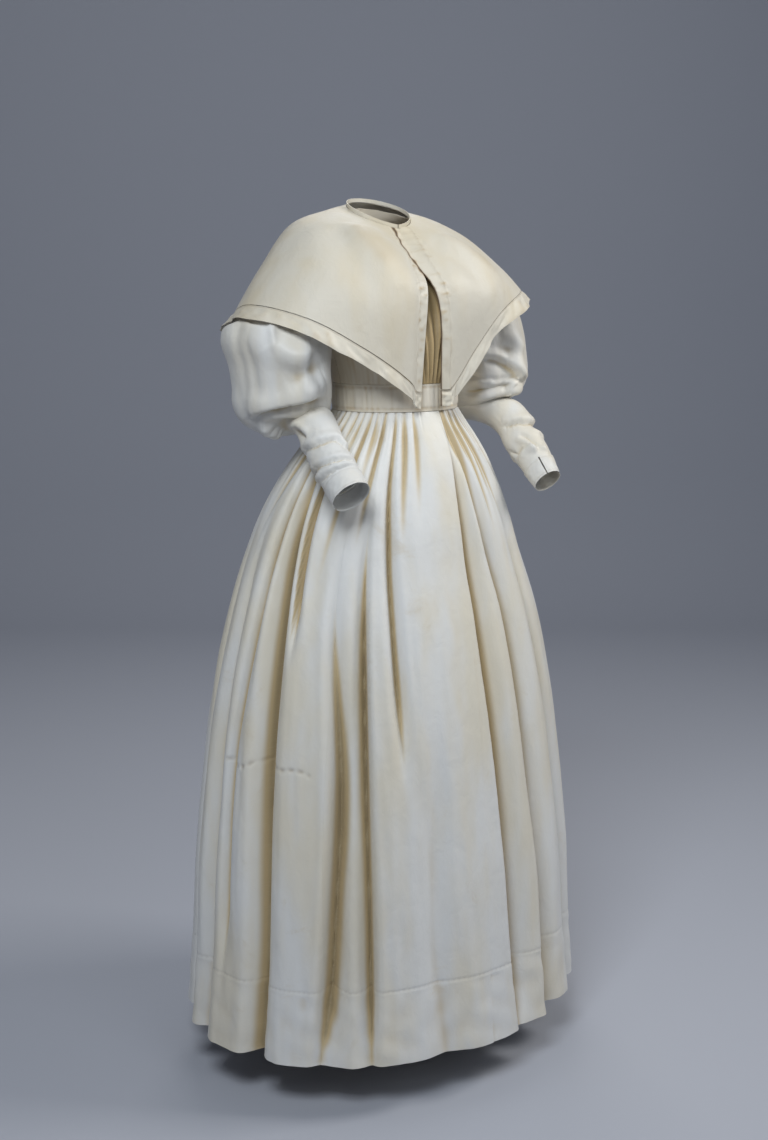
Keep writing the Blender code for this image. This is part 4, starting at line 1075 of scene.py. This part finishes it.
def finer(grid, rows, columns):
    """A finer grid through a coarse one whose columns close into a ring."""
    count = grid.shape[0] - 1
    at = np.linspace(0, count, count * rows + 1)
    tall = [[through(np.arange(count + 1), column, at) for column in grid[..., axis].T] for axis in range(3)]
    tall = np.transpose(tall, (2, 1, 0))
    before, after, second = (np.roll(tall, shift, axis=1) for shift in (1, -1, -2))
    share = (np.arange(columns) / columns)[None, None, :, None]
    p0, p1, p2, p3 = (item[:, :, None, :] for item in (before, tall, after, second))
    bend = (2.0 * p0 - 5.0 * p1 + 4.0 * p2 - p3) * share**2 + (3.0 * p1 - p0 - 3.0 * p2 + p3) * share**3
    curve = 0.5 * (2.0 * p1 + (p2 - p0) * share + bend)
    return curve.reshape(curve.shape[0], -1, 3)


def sleeve_place(grid, side):
    """Turns paths of table row and turn in degrees, counted from the outer side over the front, into points."""
    rows, columns = grid.shape[:2]

    def place(path):
        row = np.clip(3 + path[:, 0] * (rows - 4) / (len(RIGHT_SLEEVE) - 1), 0, rows - 1).round().astype(int)
        column = (path[:, 1] / 360.0 * columns).round().astype(int)
        return grid[row, (column if side > 0 else columns - 1 - column) % columns]

    return place


def make_sleeves():
    for name, table, side, ribs in (("right", RIGHT_SLEEVE, -1, CAPE_RIGHT), ("left", LEFT_SLEEVE, 1, CAPE_LEFT)):
        rings, wrist = sleeve_rings(table, side, ribs)
        smooth_grid = finer(rings, 3, 9)[:, ::side]
        normals = grid_normals(smooth_grid, True)
        lift = along_paths(smooth_grid, normals, sleeve_place(smooth_grid, side), SLEEVE_FOLDS[name])
        inner = smooth_grid + lift[..., None] * normals
        outer = inner + SILK * grid_normals(inner, True)
        # Painted shade in the sleeve's hollows and creases.
        add_cloth(f"sleeve_{name}", outer, inner, True, SLEEVE_SILK, 0.7 * hollows(outer, True, 0.008, 30))
        make_cuff(name, wrist, side)


def make_cuff(name, wrist, side):
    """A fitted cuff past the sleeve's end, with a slit along it."""
    centre, forward, outward, front = wrist
    start, end, at, gap = CUFFS[name]
    turn = np.radians(at + np.linspace(gap, 360.0 - gap, 121))
    share = np.linspace(0.0, 1.0, 24)[:, None]
    ring = np.cos(turn)[:, None] * outward + np.sin(turn)[:, None] * front
    hem = bell((share - 0.90) / 0.03) + bell((share - 0.10) / 0.03)
    swell = 0.0006 * ripple(51 + side, turn[None], share, 1.0, 3.0, 1.0, 1.5)
    radius = start + (end - start) * share - 0.0006 * hem + swell
    along = 2.0 * SEAM_GAP + WRIST_CUFF_LENGTH * share[..., None]
    inner = (centre + radius[..., None] * ring + forward * along)[:, ::side]
    outer = inner + SILK * grid_normals(inner, False)
    add_cloth(f"cuff_{name}", outer, inner, False, SLEEVE_SILK, stitch_and_shadow=0.3 * hem + 0.0 * radius)


make_sleeves()


# Floor, backdrop and light.
FLOOR_FRONT = -4.0
SWEEP_START = 3.2
SWEEP_RADIUS = 1.2
WALL_HEIGHT = 6.0
HALF_WIDTH = 6.0
AWAY = np.array([0.61564, 0.78801])
ACROSS = np.array([0.78801, -0.61564])
# Square lights: name, place, where it points, side, power and colour.
LIGHTS = (
    ("key", (-1.65, -1.45, 1.30), (0.0, 0.0, 0.7), 1.0, 49.0, (0.89, 0.945, 1.0)),
    ("fill", (1.65, -1.35, 1.20), (0.0, 0.0, 0.7), 1.0, 39.0, (1.0, 0.985, 0.955)),
    ("front", (-0.3, -3.0, 0.9), (0.0, 0.0, 0.5), 1.4, 9.0, (0.93, 0.965, 1.0)),
    ("back", (1.3, 1.9, 1.6), (0.0, 0.0, 0.0), 1.4, 15.0, (1.0, 0.985, 0.96)),
)
SURROUND = ((0.80, 0.86, 1.0, 1.0), 0.13)


def make_stage():
    """A pale floor that sweeps up into a backdrop behind the dress."""
    arc = np.linspace(0.1, 0.5 * math.pi, 14)
    sweep = SWEEP_START + SWEEP_RADIUS * np.sin(arc)
    depth = np.concatenate([np.linspace(FLOOR_FRONT, SWEEP_START, 8), sweep, [SWEEP_START + SWEEP_RADIUS]])
    rise = np.concatenate([np.zeros(8), SWEEP_RADIUS * (1.0 - np.cos(arc)), [WALL_HEIGHT]])
    sides = (-HALF_WIDTH, HALF_WIDTH)
    points = [(*(AWAY * d + ACROSS * s), r - NECK_HEIGHT) for d, r in zip(depth, rise) for s in sides]
    faces = [(2 * k, 2 * k + 1, 2 * k + 3, 2 * k + 2) for k in range(len(depth) - 1)]
    mesh = bpy.data.meshes.new("backdrop")
    mesh.from_pydata(points, [], faces)
    mesh.shade_smooth()
    material = bpy.data.materials.new("backdrop")
    material.use_nodes = True
    shader = material.node_tree.nodes["Principled BSDF"]
    shader.inputs["Base Color"].default_value = (0.52, 0.54, 0.60, 1.0)
    shader.inputs["Roughness"].default_value = 0.9
    shader.inputs["Specular IOR Level"].default_value = 0.15
    mesh.materials.append(material)
    add_object("backdrop", mesh)


def make_lights():
    for name, place, towards, size, power, colour in LIGHTS:
        data = bpy.data.lights.new(name, "AREA")
        data.size, data.energy, data.color = size, power, colour
        aim(add_object(name, data), place, Vector(towards) - Vector(place))
    world = bpy.data.worlds.new("world")
    world.use_nodes = True
    background = world.node_tree.nodes["Background"]
    background.inputs["Color"].default_value, background.inputs["Strength"].default_value = SURROUND
    bpy.context.scene.world = world


make_stage()
make_lights()
bpy.context.scene.view_settings.view_transform = "Standard"
